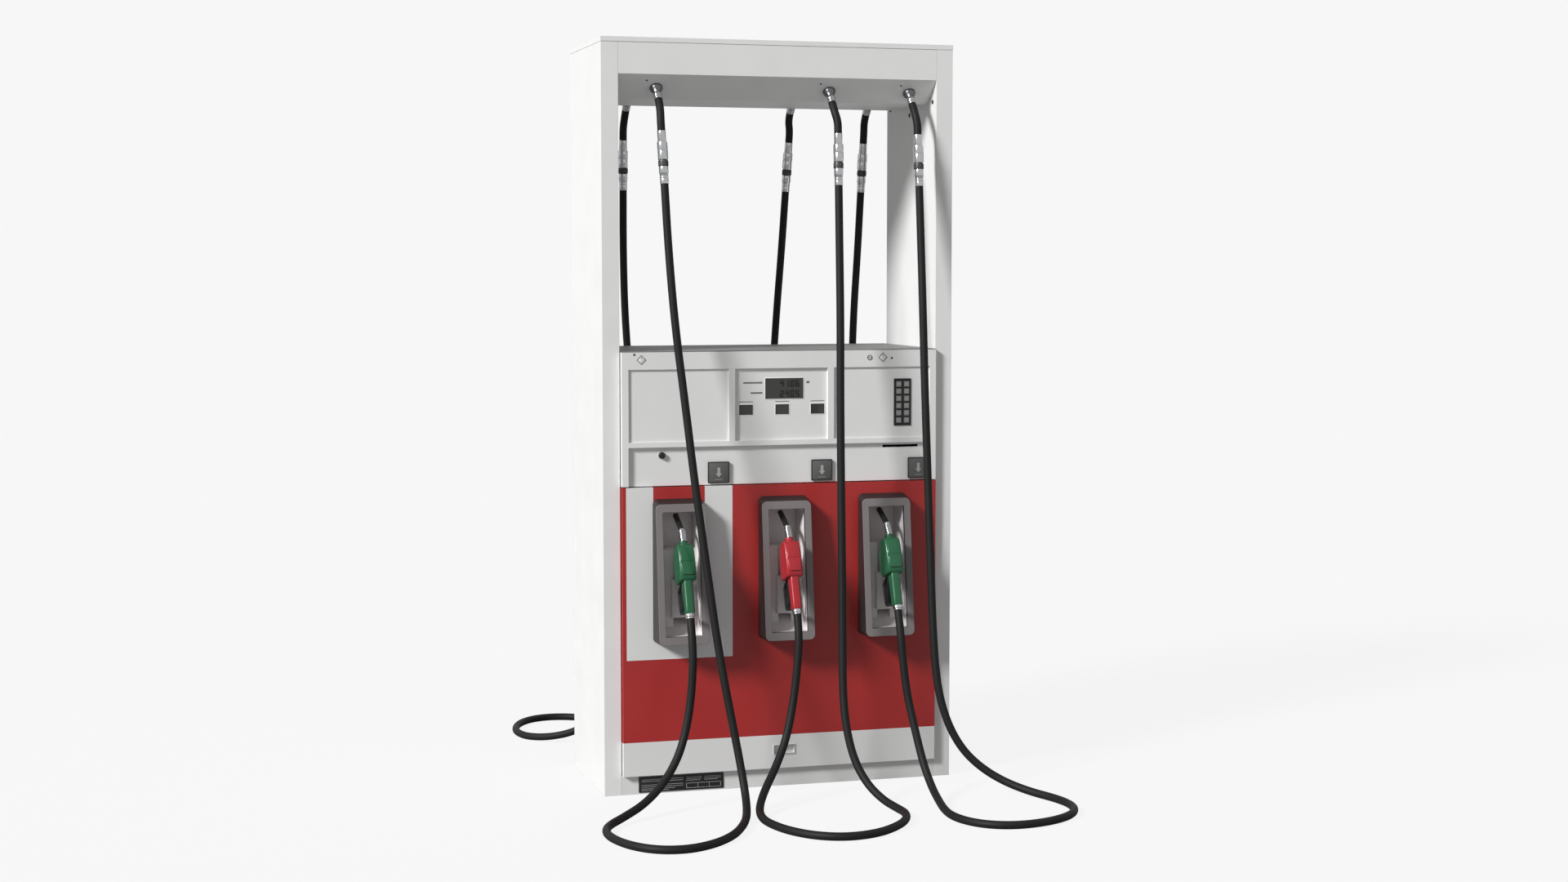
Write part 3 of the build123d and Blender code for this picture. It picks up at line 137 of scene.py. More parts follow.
def moulded(name, colour, rough, grain, depth, edge=0.0, mottle=0.06, metal=0.0, coat=0.0, shine=0.5):
    """A material with its own grain: grain is the grain's real size in mm, depth its height in mm, and
    edge the radius in mm that catches the light where two faces meet."""
    material = bpy.data.materials.new(name)
    material.use_nodes = True
    tree = material.node_tree
    tree.nodes.clear()
    place = add_node(tree, "ShaderNodeTexCoord")
    on_piece = {"Vector": place.outputs["Object"]}
    fine = add_node(tree, "ShaderNodeTexNoise", {"Scale": 1 / (grain * MM), "Detail": 3.0}, on_piece)
    broad = add_node(tree, "ShaderNodeTexNoise", {"Scale": 9.0, "Detail": 4.0}, on_piece)
    base = linear(colour)
    dark = [c * (1 - mottle) for c in base[:3]] + [1]
    light = [min(1, c * (1 + mottle)) for c in base[:3]] + [1]
    speckle = add_node(
        tree, "ShaderNodeMath", {"operation": "ADD"}, {0: fine.outputs["Fac"], 1: broad.outputs["Fac"]}
    )
    spread = add_node(
        tree, "ShaderNodeMapRange", {"From Min": 0.7, "From Max": 1.3}, {"Value": speckle.outputs[0]}
    )
    tint = add_node(tree, "ShaderNodeMix", {"data_type": "RGBA", 6: dark, 7: light}, {0: spread.outputs[0]})
    gloss = add_node(
        tree,
        "ShaderNodeMapRange",
        {"To Min": max(0.02, rough - 0.07), "To Max": min(1.0, rough + 0.07)},
        {"Value": broad.outputs["Fac"]},
    )
    bump_links = {"Height": fine.outputs["Fac"]}
    if edge:
        rounded = add_node(tree, "ShaderNodeBevel", {"Radius": edge * MM, "samples": 4})
        bump_links["Normal"] = rounded.outputs[0]
    bump = add_node(tree, "ShaderNodeBump", {"Strength": 0.5, "Distance": depth * MM}, bump_links)
    shader = add_node(
        tree,
        "ShaderNodeBsdfPrincipled",
        {"Metallic": metal, "Coat Weight": coat, "Specular IOR Level": shine},
        {"Base Color": tint.outputs[2], "Roughness": gloss.outputs[0], "Normal": bump.outputs[0]},
    )
    add_node(tree, "ShaderNodeOutputMaterial", links={"Surface": shader.outputs[0]})
    return material


def dress(node, material):
    """Give a CAD node its finish."""
    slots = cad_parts[node].data.materials
    slots.clear()
    slots.append(material)


def clear_selection():
    """Leave edit mode and select nothing."""
    if bpy.context.object and bpy.context.object.mode != "OBJECT":
        bpy.ops.object.mode_set(mode="OBJECT")
    bpy.ops.object.select_all(action="DESELECT")


def only(piece):
    """Select one piece and make it the active one."""
    clear_selection()
    piece.select_set(True)
    bpy.context.view_layer.objects.active = piece


def soften(piece, width, segments=3, angle=30):
    """Round a piece's edges with a bevel, applied, and shade it smooth."""
    only(piece)
    if width:
        bevel = piece.modifiers.new("soft_edges", "BEVEL")
        bevel.width = width * MM
        bevel.segments = segments
        bevel.limit_method = "ANGLE"
        bevel.angle_limit = math.radians(angle)
        bpy.ops.object.modifier_apply(modifier=bevel.name)
    bpy.ops.object.shade_smooth_by_angle(angle=math.radians(angle))
    return piece


def settle(piece, name, place, material, body):
    """Put a piece where it belongs, with its place in its mesh, and let it ride on its body."""
    only(piece)
    piece.matrix_world = place
    bpy.ops.object.transform_apply(location=True, rotation=True, scale=True)
    piece.name = name
    piece.data.name = name
    piece.data.materials.clear()
    piece.data.materials.append(material)
    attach(piece, body)
    return piece


def another(pattern):
    """A copy of a modelled piece, with its own mesh."""
    twin = pattern.copy()
    twin.data = pattern.data.copy()
    bpy.context.collection.objects.link(twin)
    return twin


def put_away(*patterns):
    """Remove the pieces that were only there to be copied."""
    for pattern in patterns:
        bpy.data.objects.remove(pattern)


def stand(x, out, z, side):
    """The place of a detail on a front or back panel that stands out from the middle by out."""
    turn = Matrix.Rotation(0 if side < 0 else math.pi, 4, "Z")
    return Matrix.Translation((x * MM, side * out * MM, z * MM)) @ turn


def slab(low, high, edge, segments=3):
    """A block between two corners, in mm, with rounded edges."""
    clear_selection()
    middle = [(a + b) / 2 * MM for a, b in zip(low, high)]
    bpy.ops.mesh.primitive_cube_add(size=1, location=middle)
    piece = bpy.context.object
    piece.scale = [(b - a) * MM for a, b in zip(low, high)]
    bpy.ops.object.transform_apply(location=True, rotation=True, scale=True)
    return soften(piece, edge, segments)


def cut_out(points, start, depth, edge, segments=3, across="x"):
    """A plate or bar from an outline in mm: across "x" the outline is (y, z) and the depth runs along X,
    across "y" it is (x, z) and the depth runs along Y."""
    clear_selection()
    bpy.ops.mesh.primitive_circle_add(vertices=len(points), radius=MM, fill_type="NGON")
    piece = bpy.context.object
    for vertex, (a, b) in zip(piece.data.vertices, points):
        vertex.co = (start * MM, a * MM, b * MM) if across == "x" else (a * MM, start * MM, b * MM)
    step = (depth * MM, 0, 0) if across == "x" else (0, depth * MM, 0)
    bpy.ops.object.mode_set(mode="EDIT")
    bpy.ops.mesh.select_all(action="SELECT")
    bpy.ops.mesh.extrude_region_move(TRANSFORM_OT_translate={"value": step})
    bpy.ops.mesh.select_all(action="SELECT")
    bpy.ops.mesh.normals_make_consistent(inside=False)
    bpy.ops.object.mode_set(mode="OBJECT")
    return soften(piece, edge, segments)


def lathe(steps, sides=40, edge=0.0):
    """A turned piece up the Z axis from a list of (radius, height) in mm."""
    clear_selection()
    radius, height = steps[0]
    bpy.ops.mesh.primitive_circle_add(
        vertices=sides, radius=radius * MM, location=(0, 0, height * MM), fill_type="NGON"
    )
    piece = bpy.context.object
    bpy.ops.object.transform_apply(location=True, rotation=False, scale=False)
    bpy.ops.object.mode_set(mode="EDIT")
    bpy.ops.mesh.select_all(action="SELECT")
    for next_radius, next_height in steps[1:]:
        rise = (0, 0, (next_height - height) * MM)
        bpy.ops.mesh.extrude_region_move(TRANSFORM_OT_translate={"value": rise})
        grow = next_radius / radius
        bpy.ops.transform.resize(value=(grow, grow, 1))
        radius, height = next_radius, next_height
    bpy.ops.mesh.select_all(action="SELECT")
    bpy.ops.mesh.normals_make_consistent(inside=False)
    bpy.ops.object.mode_set(mode="OBJECT")
    return soften(piece, edge, 2, 35)


def along(start, direction):
    """A place whose Z axis runs along a direction."""
    return Matrix.Translation(start) @ direction.to_track_quat("Z", "X").to_matrix().to_4x4()


# Hoses
# Black petrol hose, 25 mm across: nitrile rubber over a steel braid, extruded, so it is smooth and half matt
# with faint lengthwise streaks. Each runs from a swivel under the canopy through a breakaway, down to the
# floor, round in one loose loop, and up into the foot of a nozzle's handle.
SIDES = (("front", -1), ("back", 1))
PLACES = ("left", "mid", "right")
HOSE_R = 12.4
FLOOR_Z = 13.0
CANOPY_LOW = 2168.0
CANOPY_FLAT = 167.0
SLOPE_RUN = 80.0
SLOPE_RISE = 70.0
SWIVEL_DROP = 32.0
SWIVEL_LENGTH = 50.0
SWIVEL_X = (-387.0, 172.0, 438.0)
POD_X = (-337.0, 3.0, 332.0)
BREAKAWAY_LENGTH = 165.0
WHIP_START = 35.0
WHIP_END = 38.0
NOZZLE_END = (-427.0, 575.0)
NOZZLE_LEAN = math.radians(22)
NOZZLE_RUN = 60.0
ROUTES = (
    (
        (-384, -302, 1900), (-379, -330, 1700), (-367, -362, 1470), (-342, -388, 1230),
        (-320, -421, 985), (-292, -452, 735), (-264, -482, 490), (-238, -508, 320),
        (-213, -534, 165), (-204, -572, 65), (-214, -632, 24), (-237, -710, FLOOR_Z),
        (-275, -805, FLOOR_Z), (-325, -898, FLOOR_Z), (-398, -978, FLOOR_Z), (-487, -1023, FLOOR_Z),
        (-572, -1008, FLOOR_Z), (-634, -942, FLOOR_Z), (-668, -850, FLOOR_Z), (-674, -762, FLOOR_Z),
        (-650, -685, FLOOR_Z), (-590, -622, 20), (-516, -568, 42), (-450, -524, 86),
        (-395, -492, 155), (-362, -472, 240), (-344, -463, 340), (-337, -460, 440),
    ),
    (
        (174, -302, 1900), (168, -331, 1700), (160, -368, 1480), (152, -394, 1240),
        (148, -415, 990), (145, -435, 740), (140, -459, 500), (134, -482, 330),
        (137, -507, 228), (152, -538, 135), (180, -580, 67), (214, -634, 26),
        (238, -698, FLOOR_Z), (244, -770, FLOOR_Z), (218, -850, FLOOR_Z), (162, -925, FLOOR_Z),
        (82, -988, FLOOR_Z), (-13, -1008, FLOOR_Z), (-97, -970, FLOOR_Z), (-156, -888, FLOOR_Z),
        (-186, -790, FLOOR_Z), (-190, -708, FLOOR_Z), (-180, -645, 26), (-146, -580, 62),
        (-94, -522, 118), (-49, -485, 198), (-20, -464, 306), (-4, -458, 430),
    ),
    (
        (440, -302, 1900), (438, -329, 1700), (434, -362, 1480), (434, -384, 1230),
        (437, -405, 980), (440, -424, 730), (443, -442, 500), (450, -460, 340),
        (475, -482, 225), (519, -503, 138), (576, -530, 80), (640, -566, 40),
        (702, -624, FLOOR_Z + 5), (747, -700, FLOOR_Z), (764, -785, FLOOR_Z), (752, -865, FLOOR_Z),
        (706, -935, FLOOR_Z), (622, -988, FLOOR_Z), (520, -1010, FLOOR_Z), (438, -986, FLOOR_Z),
        (385, -925, FLOOR_Z), (363, -842, FLOOR_Z), (370, -755, FLOOR_Z), (382, -670, 22),
        (385, -602, 46), (377, -544, 108), (362, -502, 216), (346, -473, 320), (335, -460, 443),
    ),
)
rubber = moulded("extruded_nitrile_rubber", "#1B1B1B", 0.58, 2.0, 0.05, mottle=0.12, shine=0.2)
handle_up = Vector((0, math.sin(NOZZLE_LEAN), math.cos(NOZZLE_LEAN)))
outward = Vector((0, -SLOPE_RISE, -SLOPE_RUN)).normalized()


def swap_side(point, side):
    """A front point as it is, or its mirror image at the back."""
    return Vector((point.x, -side * point.y, point.z))


fittings = {}
for i, place in enumerate(PLACES):
    slope_y = CANOPY_FLAT + SWIVEL_DROP * SLOPE_RUN / SLOPE_RISE
    outlet = Vector((SWIVEL_X[i], -slope_y, CANOPY_LOW + SWIVEL_DROP))
    swivel_end = outlet + outward * SWIVEL_LENGTH
    route = [Vector(point) for point in ROUTES[i]]
    hang = (route[0] - route[1]).normalized()
    breakaway_top = route[0] + hang * BREAKAWAY_LENGTH
    nozzle_end = Vector((POD_X[i], *NOZZLE_END))
    line = [swivel_end, swivel_end + outward * WHIP_START, breakaway_top + hang * WHIP_END, breakaway_top]
    line += [*route, nozzle_end - handle_up * NOZZLE_RUN, nozzle_end]
    for face, side in SIDES:
        points = [swap_side(point, side) * MM for point in line]
        curve = bpy.data.curves.new(f"{face}_hose_{place}_line", "CURVE")
        curve.dimensions = "3D"
        curve.bevel_depth = HOSE_R * MM
        curve.bevel_resolution = 6
        curve.resolution_u = 10
        curve.use_fill_caps = True
        spline = curve.splines.new("NURBS")
        spline.points.add(len(points) - 1)
        for knot, point in zip(spline.points, points):
            knot.co = (*point, 1)
        spline.order_u = 3
        spline.use_endpoint_u = True
        hose = bpy.data.objects.new(f"{face}_hose_{place}_tube", curve)
        bpy.context.collection.objects.link(hose)
        curve.materials.append(rubber)
        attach(hose, "dispenser")
        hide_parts(f"{face}_hose_{place}")
        fittings[face, place] = (
            swap_side(outlet, side) * MM,
            swap_side(outward, side),
            swap_side(route[0], side) * MM,
            swap_side(hang, side),
        )

# Hose swivels
# Zinc-plated steel swivels screwed into the canopy's slope: a smoked bell against the sheet, a bright
# neck, a hexagon for the spanner and a crimped ferrule that the hose goes into.
bright_plate = moulded("bright_zinc_plate", "#C9CACC", 0.20, 1.5, 0.02, metal=1.0, mottle=0.05)
smoked_plate = moulded("smoked_zinc_plate", "#77787A", 0.26, 1.5, 0.02, metal=1.0, mottle=0.08)
bell_pattern = lathe(
    [(12, -2), (20.4, 0), (20.6, 2.5), (20, 6), (17.6, 11), (14.6, 16), (12.6, 21), (11.6, 25), (9, 26)],
    48, 0.5,
)
hexagon_pattern = lathe([(9, 24), (11.9, 24.2), (12.2, 25), (12.2, 31), (11.9, 31.8), (9, 32)], 6, 0.5)
ferrule_pattern = lathe(
    [(9, 31), (13.1, 31.5), (13.5, 32.5), (13.5, 37), (12.9, 38), (13.5, 39), (13.5, 43), (12.9, 44),
     (13.5, 45), (13.5, 50), (13.0, 51.5), (12.2, 52)], 48, 0.2
)
for (face, place), (outlet, out, start, hang) in fittings.items():
    seat = along(outlet, out)
    for pattern, part, finish in (
        (bell_pattern, "bell", smoked_plate),
        (hexagon_pattern, "nut", bright_plate),
        (ferrule_pattern, "ferrule", bright_plate),
    ):
        piece = settle(
            another(pattern), f"{face}_swivel_{part}_{place}", seat, finish, "dispenser"
        )
        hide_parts("hose_swivels")
put_away(bell_pattern, hexagon_pattern, ferrule_pattern)

# Breakaways
# Two chromed half couplings that part if a car drives off with the nozzle: turned steel sleeves with a
# long window that shows the latch, a dark knurled ring between them and a ferrule at each end.
chrome = moulded("chromed_steel", "#D2D3D5", 0.14, 2.0, 0.01, metal=1.0, mottle=0.03)
knurl_grey = moulded("blackened_steel_knurl", "#4B4B4C", 0.45, 1.6, 0.25, metal=0.6, mottle=0.10)
latch_dark = moulded("oiled_black_steel", "#1C1C1D", 0.35, 1.5, 0.03, metal=0.4)
upper_pattern = lathe(
    [(9, 0), (12.9, 0.4), (13.2, 1.5), (13.2, 33), (12.8, 34), (15.4, 35), (15.8, 36), (15.8, 60),
     (15.0, 61), (15.0, 62), (15.4, 63), (15.4, 88), (15.0, 90), (10, 90)], 48, 0.25
)
ring_pattern = lathe(
    [(10, 90), (13.6, 90.2), (13.6, 92), (15.0, 92.2), (15.2, 93), (15.2, 109), (15.0, 110), (10, 110)],
    48, 0.2,
)
lower_pattern = lathe(
    [(10, 110), (13.9, 110.2), (14.6, 112), (14.6, 131), (13.9, 133), (13.4, 134), (13.4, 139), (12.9, 140),
     (13.4, 141), (13.4, 146), (12.9, 147), (13.4, 148), (13.4, 163), (13.0, 164.6), (9, 165)], 48, 0.2
)
window_pattern = slab((-1.6, -16.1, 38), (1.6, -14.2, 87), 0.8)
KNURL_COUNT = 24
for step in range(KNURL_COUNT):
    tooth = slab((-0.8, -15.8, 94), (0.8, -14.4, 108), 0.3, 1)
    only(tooth)
    bpy.ops.transform.rotate(
        value=2 * math.pi * step / KNURL_COUNT, orient_axis="Z", center_override=(0, 0, 0)
    )
    tooth.select_set(True)
    ring_pattern.select_set(True)
    bpy.context.view_layer.objects.active = ring_pattern
    bpy.ops.object.join()
for (face, place), (outlet, out, start, hang) in fittings.items():
    seat = along(start + hang * BREAKAWAY_LENGTH * MM, -hang)
    turn = Matrix.Rotation(math.radians(18), 4, "Z")
    for pattern, part, finish in (
        (upper_pattern, "upper", chrome),
        (window_pattern, "latch", latch_dark),
        (ring_pattern, "ring", knurl_grey),
        (lower_pattern, "lower", chrome),
    ):
        piece = settle(
            another(pattern), f"{face}_breakaway_{part}_{place}", seat @ turn, finish, "dispenser"
        )
        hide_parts("breakaways")
put_away(upper_pattern, ring_pattern, lower_pattern, window_pattern)

# Mast
# Folded steel columns, canopy and cap, powder coated white: a fine orange-peel grain, half matt, with the
# light caught along each fold.
powder_white = moulded("powder_coated_steel", "#E4E4E3", 0.48, 2.6, 0.10, edge=1.2, mottle=0.025)
for node in ("top_cap", "left_column", "right_column", "canopy_shell"):
    dress(node, powder_white)
SCREW_PLACES = ((-212.0, 2172.0), (15.0, 2143.0), (212.0, 2172.0))
COLUMN_IN = 516.0
screw_pattern = lathe(
    [(3.4, -2), (3.4, 0), (6.6, 0.2), (6.8, 1.0), (6.0, 2.4), (3.6, 3.3), (1.9, 3.5), (1.6, 2.2)], 24, 0.2
)
screw_steel = moulded("blackened_screw_steel", "#3A3A3B", 0.40, 1.2, 0.03, metal=0.7)
for name, x, inward in (("left", -COLUMN_IN, 1), ("right", COLUMN_IN, -1)):
    for number, (y, z) in enumerate(SCREW_PLACES):
        seat = along(Vector((x, y, z)) * MM, Vector((inward, 0, 0)))
        screw = another(screw_pattern)
        settle(screw, f"{name}_column_screw_{number}", seat, screw_steel, "dispenser")
put_away(screw_pattern)

# Base and lid
# The welded base is painted a shade greyer. The lid is a plain sheet in a mid grey, which looks dark
# from in front.
base_grey = moulded("base_enamel", "#DCDCDB", 0.50, 3.0, 0.10, edge=1.0, mottle=0.05)
lid_grey = moulded("lid_mid_grey", "#777776", 0.55, 3.0, 0.10, edge=0.8, mottle=0.05)
dress("base_frame", base_grey)
dress("cabinet_lid", lid_grey)

# Rating plate
# A black anodised plate riveted to the base. Its printed fields are plain bars and boxes here.
PLATE_X, PLATE_Z, PLATE_OUT = -324.5, 30.0, 248.4
plate_black = moulded("black_anodised_plate", "#1B1B1C", 0.35, 2.0, 0.02, mottle=0.1)
print_white = moulded("screen_print_white", "#C9C9C7", 0.5, 2.0, 0.01, mottle=0.03)
plate = slab((-137, -0.6, -25), (137, 0.4, 25), 0.3, 2)
plate_seat = stand(PLATE_X, PLATE_OUT, PLATE_Z, -1)
settle(plate, "rating_plate_sheet", plate_seat, plate_black, "dispenser")
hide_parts("trim_plates")
PRINTED_BARS = (
    (-128, -66, 14, 15.2), (-128, -66, 9, 10), (-60, 6, 14, 15.2), (-60, 6, 8, 9),
    (-128, 6, -3, -2.2), (-128, 6, -9, -8.2), (-128, -20, -15, -14.2), (-128, -40, -20, -19.2),
    (16, 66, 15, 16), (16, 66, 10, 10.8), (16, 60, 5, 5.8), (74, 128, 15, 16), (74, 128, 10, 10.8),
    (74, 118, 5, 5.8), (16, 128, -4, -3.2), (16, 128, -19, -18.2), (16, 16.8, -19, -3.2),
    (53, 53.8, -19, -3.2), (90, 90.8, -19, -3.2), (127.2, 128, -19, -3.2),
)
for number, (x0, x1, z0, z1) in enumerate(PRINTED_BARS):
    bar = slab((x0, -0.75, z0), (x1, -0.5, z1), 0.08, 1)
    settle(bar, f"rating_plate_print_{number}", plate_seat, print_white, "dispenser")

# Bezel
# A vacuum-formed ABS panel in the mast's white, with three sunk windows and the long button recess, and
# softer edges than the steel. Small rivets and outlined diamonds sit along its top rail.
bezel_white = moulded("vacuum_formed_abs", "#E3E3E2", 0.46, 2.2, 0.08, edge=1.8, mottle=0.02)
PANEL_Y = 264.0
MID_WINDOW_Y = 256.0
SIDE_WINDOW_Y = 259.0
RECESS_Y = 253.0
DIAMOND_X = (-450.0, 334.0)
RIVETS = ((-473.5, 1378.0), (363.0, 1359.0))
LOCK_Z = 1361.0
outline_grey = moulded("engraved_line_paint", "#2E2E2E", 0.5, 1.5, 0.02)
rivet_steel = moulded("rivet_steel", "#6A6A6B", 0.40, 1.2, 0.02, metal=0.8)
diamond_face = slab((-10.1, -0.2, -10.1), (10.1, 0.9, 10.1), 0.3, 2)
diamond_bars = []
for quarter in range(4):
    bar = slab((-10.6, -0.45, 9.0), (10.6, 0.6, 10.6), 0.1, 1)
    only(bar)
    bar.matrix_world = Matrix.Rotation(math.pi / 2 * quarter, 4, "Y")
    bpy.ops.object.transform_apply(location=True, rotation=True, scale=True)
    diamond_bars.append(bar)
clear_selection()
for bar in diamond_bars:
    bar.select_set(True)
bpy.context.view_layer.objects.active = diamond_bars[0]
bpy.ops.object.join()
diamond_line = bpy.context.object
dot_pattern = lathe([(1.5, -0.2), (2.0, 0), (2.0, 0.5), (1.5, 0.7)], 16)
rivet_pattern = lathe([(2.6, -0.5), (3.8, 0), (3.8, 0.4), (2.8, 1.2), (1.2, 1.6)], 20)
for face, side in SIDES:
    dress(f"{face}_bezel", bezel_white)
    for number, x in enumerate(DIAMOND_X):
        seat = stand(x, PANEL_Y, LOCK_Z, side)
        turned = seat @ Matrix.Rotation(math.pi / 4, 4, "Y")
        upright = seat @ Matrix.Translation((0, 0, 6.2 * MM)) @ Matrix.Rotation(math.pi / 2, 4, "X")
        cover = another(diamond_face)
        settle(cover, f"{face}_diamond_{number}", turned, bezel_white, "dispenser")
        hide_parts("trim_plates")
        for pattern, part, place in ((diamond_line, "edge", turned), (dot_pattern, "dot", upright)):
            name = f"{face}_diamond_{part}_{number}"
            settle(another(pattern), name, place, outline_grey, "dispenser")
    for number, (x, z) in enumerate(RIVETS):
        upright = stand(x, PANEL_Y, z, side) @ Matrix.Rotation(math.pi / 2, 4, "X")
        settle(another(rivet_pattern), f"{face}_rivet_{number}", upright, rivet_steel, "dispenser")
put_away(diamond_face, diamond_line, dot_pattern, rivet_pattern)

# Bezel locks
# Nickel-plated lock barrels that stand a millimetre proud, each in a dark rubber ring, with a slot for
# the key.
lock_nickel = moulded("nickel_plated_brass", "#E2E0DA", 0.42, 1.2, 0.02, metal=0.6)
LOCK_X = 290.0
lock_ring = lathe([(6.4, 0), (6.4, 0.9), (8.3, 0.9), (8.5, 0.4), (8.5, 0)], 32)
slot_pattern = slab((-4.6, -1.15, -0.8), (4.6, -0.2, 0.8), 0.1, 1)
for face, side in SIDES:
    dress(f"{face}_bezel_lock", lock_nickel)
    seat = stand(LOCK_X, PANEL_Y, LOCK_Z, side)
    upright = seat @ Matrix.Rotation(math.pi / 2, 4, "X")
    settle(another(lock_ring), f"{face}_lock_ring", upright, outline_grey, "dispenser")
    settle(another(slot_pattern), f"{face}_lock_slot", seat, outline_grey, f"{face}_bezel_lock")
put_away(lock_ring, slot_pattern)

# Displays
# Liquid crystal panels behind smoked acrylic: nearly black, glossy, with the digits a shade darker and
# slightly green, in a thin pale frame where the opening's edge shows.
smoked_glass = moulded("smoked_acrylic", "#3A3A37", 0.22, 3.0, 0.01, mottle=0.05, coat=0.3)
digit_black = moulded("liquid_crystal_black", "#10100E", 0.5, 2.0, 0.01)
frame_pale = moulded("display_frame_abs", "#EDEDEC", 0.4, 2.0, 0.03)
caption_grey = moulded("caption_print_grey", "#6E6E6D", 0.5, 2.0, 0.01)
LCD = (10.5, 1266.5, 125.0, 65.0)
CAPTION_BARS = ((-134, -72, 19, 5.0), (-110, -72, -13, 5.0), (72, 82, 19, 7.0))
PRICE_X = (-114.5, 3.5, 119.5)
PRICE_Z = 1201.0
PRICE_SIZE = (45.0, 32.0)
CAPTION_RISE = 25.0
SEGMENTS = {
    "0": "abcdef", "1": "bc", "2": "abged", "3": "abgcd", "4": "fgbc",
    "5": "afgcd", "6": "afgedc", "7": "abc", "8": "abcdefg", "9": "abcdfg",
}


def digit(figure, height, thick):
    """One seven-segment digit, its lower left corner at the origin, as one flat piece."""
    width = height * 0.55
    middle = height / 2
    bars = {
        "a": (0, height - thick, width, height),
        "b": (width - thick, middle, width, height),
        "c": (width - thick, 0, width, middle),
        "d": (0, 0, width, thick),
        "e": (0, 0, thick, middle),
        "f": (0, middle, thick, height),
        "g": (0, middle - thick / 2, width, middle + thick / 2),
    }
    parts = []
    for segment in SEGMENTS[figure]:
        x0, z0, x1, z1 = bars[segment]
        parts.append(slab((x0 + 0.2, -0.25, z0 + 0.2), (x1 - 0.2, 0.1, z1 - 0.2), 0.1, 1))
    clear_selection()
    for part in parts:
        part.select_set(True)
    bpy.context.view_layer.objects.active = parts[0]
    if len(parts) > 1:
        bpy.ops.object.join()
    return bpy.context.object


def window_frame(width, height, rim):
    """A thin rectangular rim around an opening."""
    clear_selection()
    bpy.ops.mesh.primitive_plane_add(size=1, rotation=(math.pi / 2, 0, 0))
    piece = bpy.context.object
    piece.scale = ((width + 2 * rim) * MM, (height + 2 * rim) * MM, 1)
    bpy.ops.object.transform_apply(location=True, rotation=True, scale=True)
    bpy.ops.object.mode_set(mode="EDIT")
    bpy.ops.mesh.select_all(action="SELECT")
    bpy.ops.mesh.inset(thickness=rim * MM, depth=0)
    bpy.ops.mesh.delete(type="FACE")
    bpy.ops.mesh.select_all(action="SELECT")
    bpy.ops.mesh.extrude_region_move(TRANSFORM_OT_translate={"value": (0, -0.8 * MM, 0)})
    bpy.ops.mesh.select_all(action="SELECT")
    bpy.ops.mesh.normals_make_consistent(inside=False)
    bpy.ops.object.mode_set(mode="OBJECT")
    return soften(piece, 0.2, 2)


def write_figures(text, pitch, height, thick, place, name, material, body):
    """A row of digits, with a dot where the text has one."""
    across = 0.0
    for number, figure in enumerate(text):
        if figure == ".":
            mark = slab((across - 2.2, -0.25, 0), (across - 0.6, 0.1, 1.6), 0.1, 1)
        else:
            mark = digit(figure, height, thick)
        shift = Matrix.Translation((0 if figure == "." else across * MM, 0, 0))
        settle(mark, f"{name}_{number}", place @ shift, material, body)
        if figure != ".":
            across += pitch


lcd_frame = window_frame(LCD[2], LCD[3], 2.0)
price_frame = window_frame(*PRICE_SIZE, 1.5)
for face, side in SIDES:
    dress(f"{face}_displays", smoked_glass)
    seat = stand(LCD[0], MID_WINDOW_Y, LCD[1], side)
    settle(another(lcd_frame), f"{face}_sale_frame", seat, frame_pale, "dispenser")
    for text, z in (("41.06", 6.0), ("24.05", -26.0)):
        place = stand(LCD[0] + side * 14, MID_WINDOW_Y, LCD[1] + z, side)
        name = f"{face}_sale_{'top' if z > 0 else 'low'}"
        write_figures(text, 17.0, 20.0, 3.0, place, name, digit_black, "dispenser")
    for number, x in enumerate(PRICE_X):
        rim = another(price_frame)
        place = stand(x, MID_WINDOW_Y, PRICE_Z, side)
        settle(rim, f"{face}_price_frame_{number}", place, frame_pale, "dispenser")
        caption = slab((-23, -0.3, -1.2), (23, 0.1, 1.2), 0.1, 1)
        place = stand(x, MID_WINDOW_Y, PRICE_Z + CAPTION_RISE, side)
        settle(caption, f"{face}_price_caption_{number}", place, caption_grey, "dispenser")
    for number, (x0, x1, z, thick) in enumerate(CAPTION_BARS):
        bar = slab((x0, -0.3, z - thick / 2), (x1, 0.1, z + thick / 2), 0.1, 1)
        settle(bar, f"{face}_sale_caption_{number}", seat, caption_grey, "dispenser")
put_away(lcd_frame, price_frame)

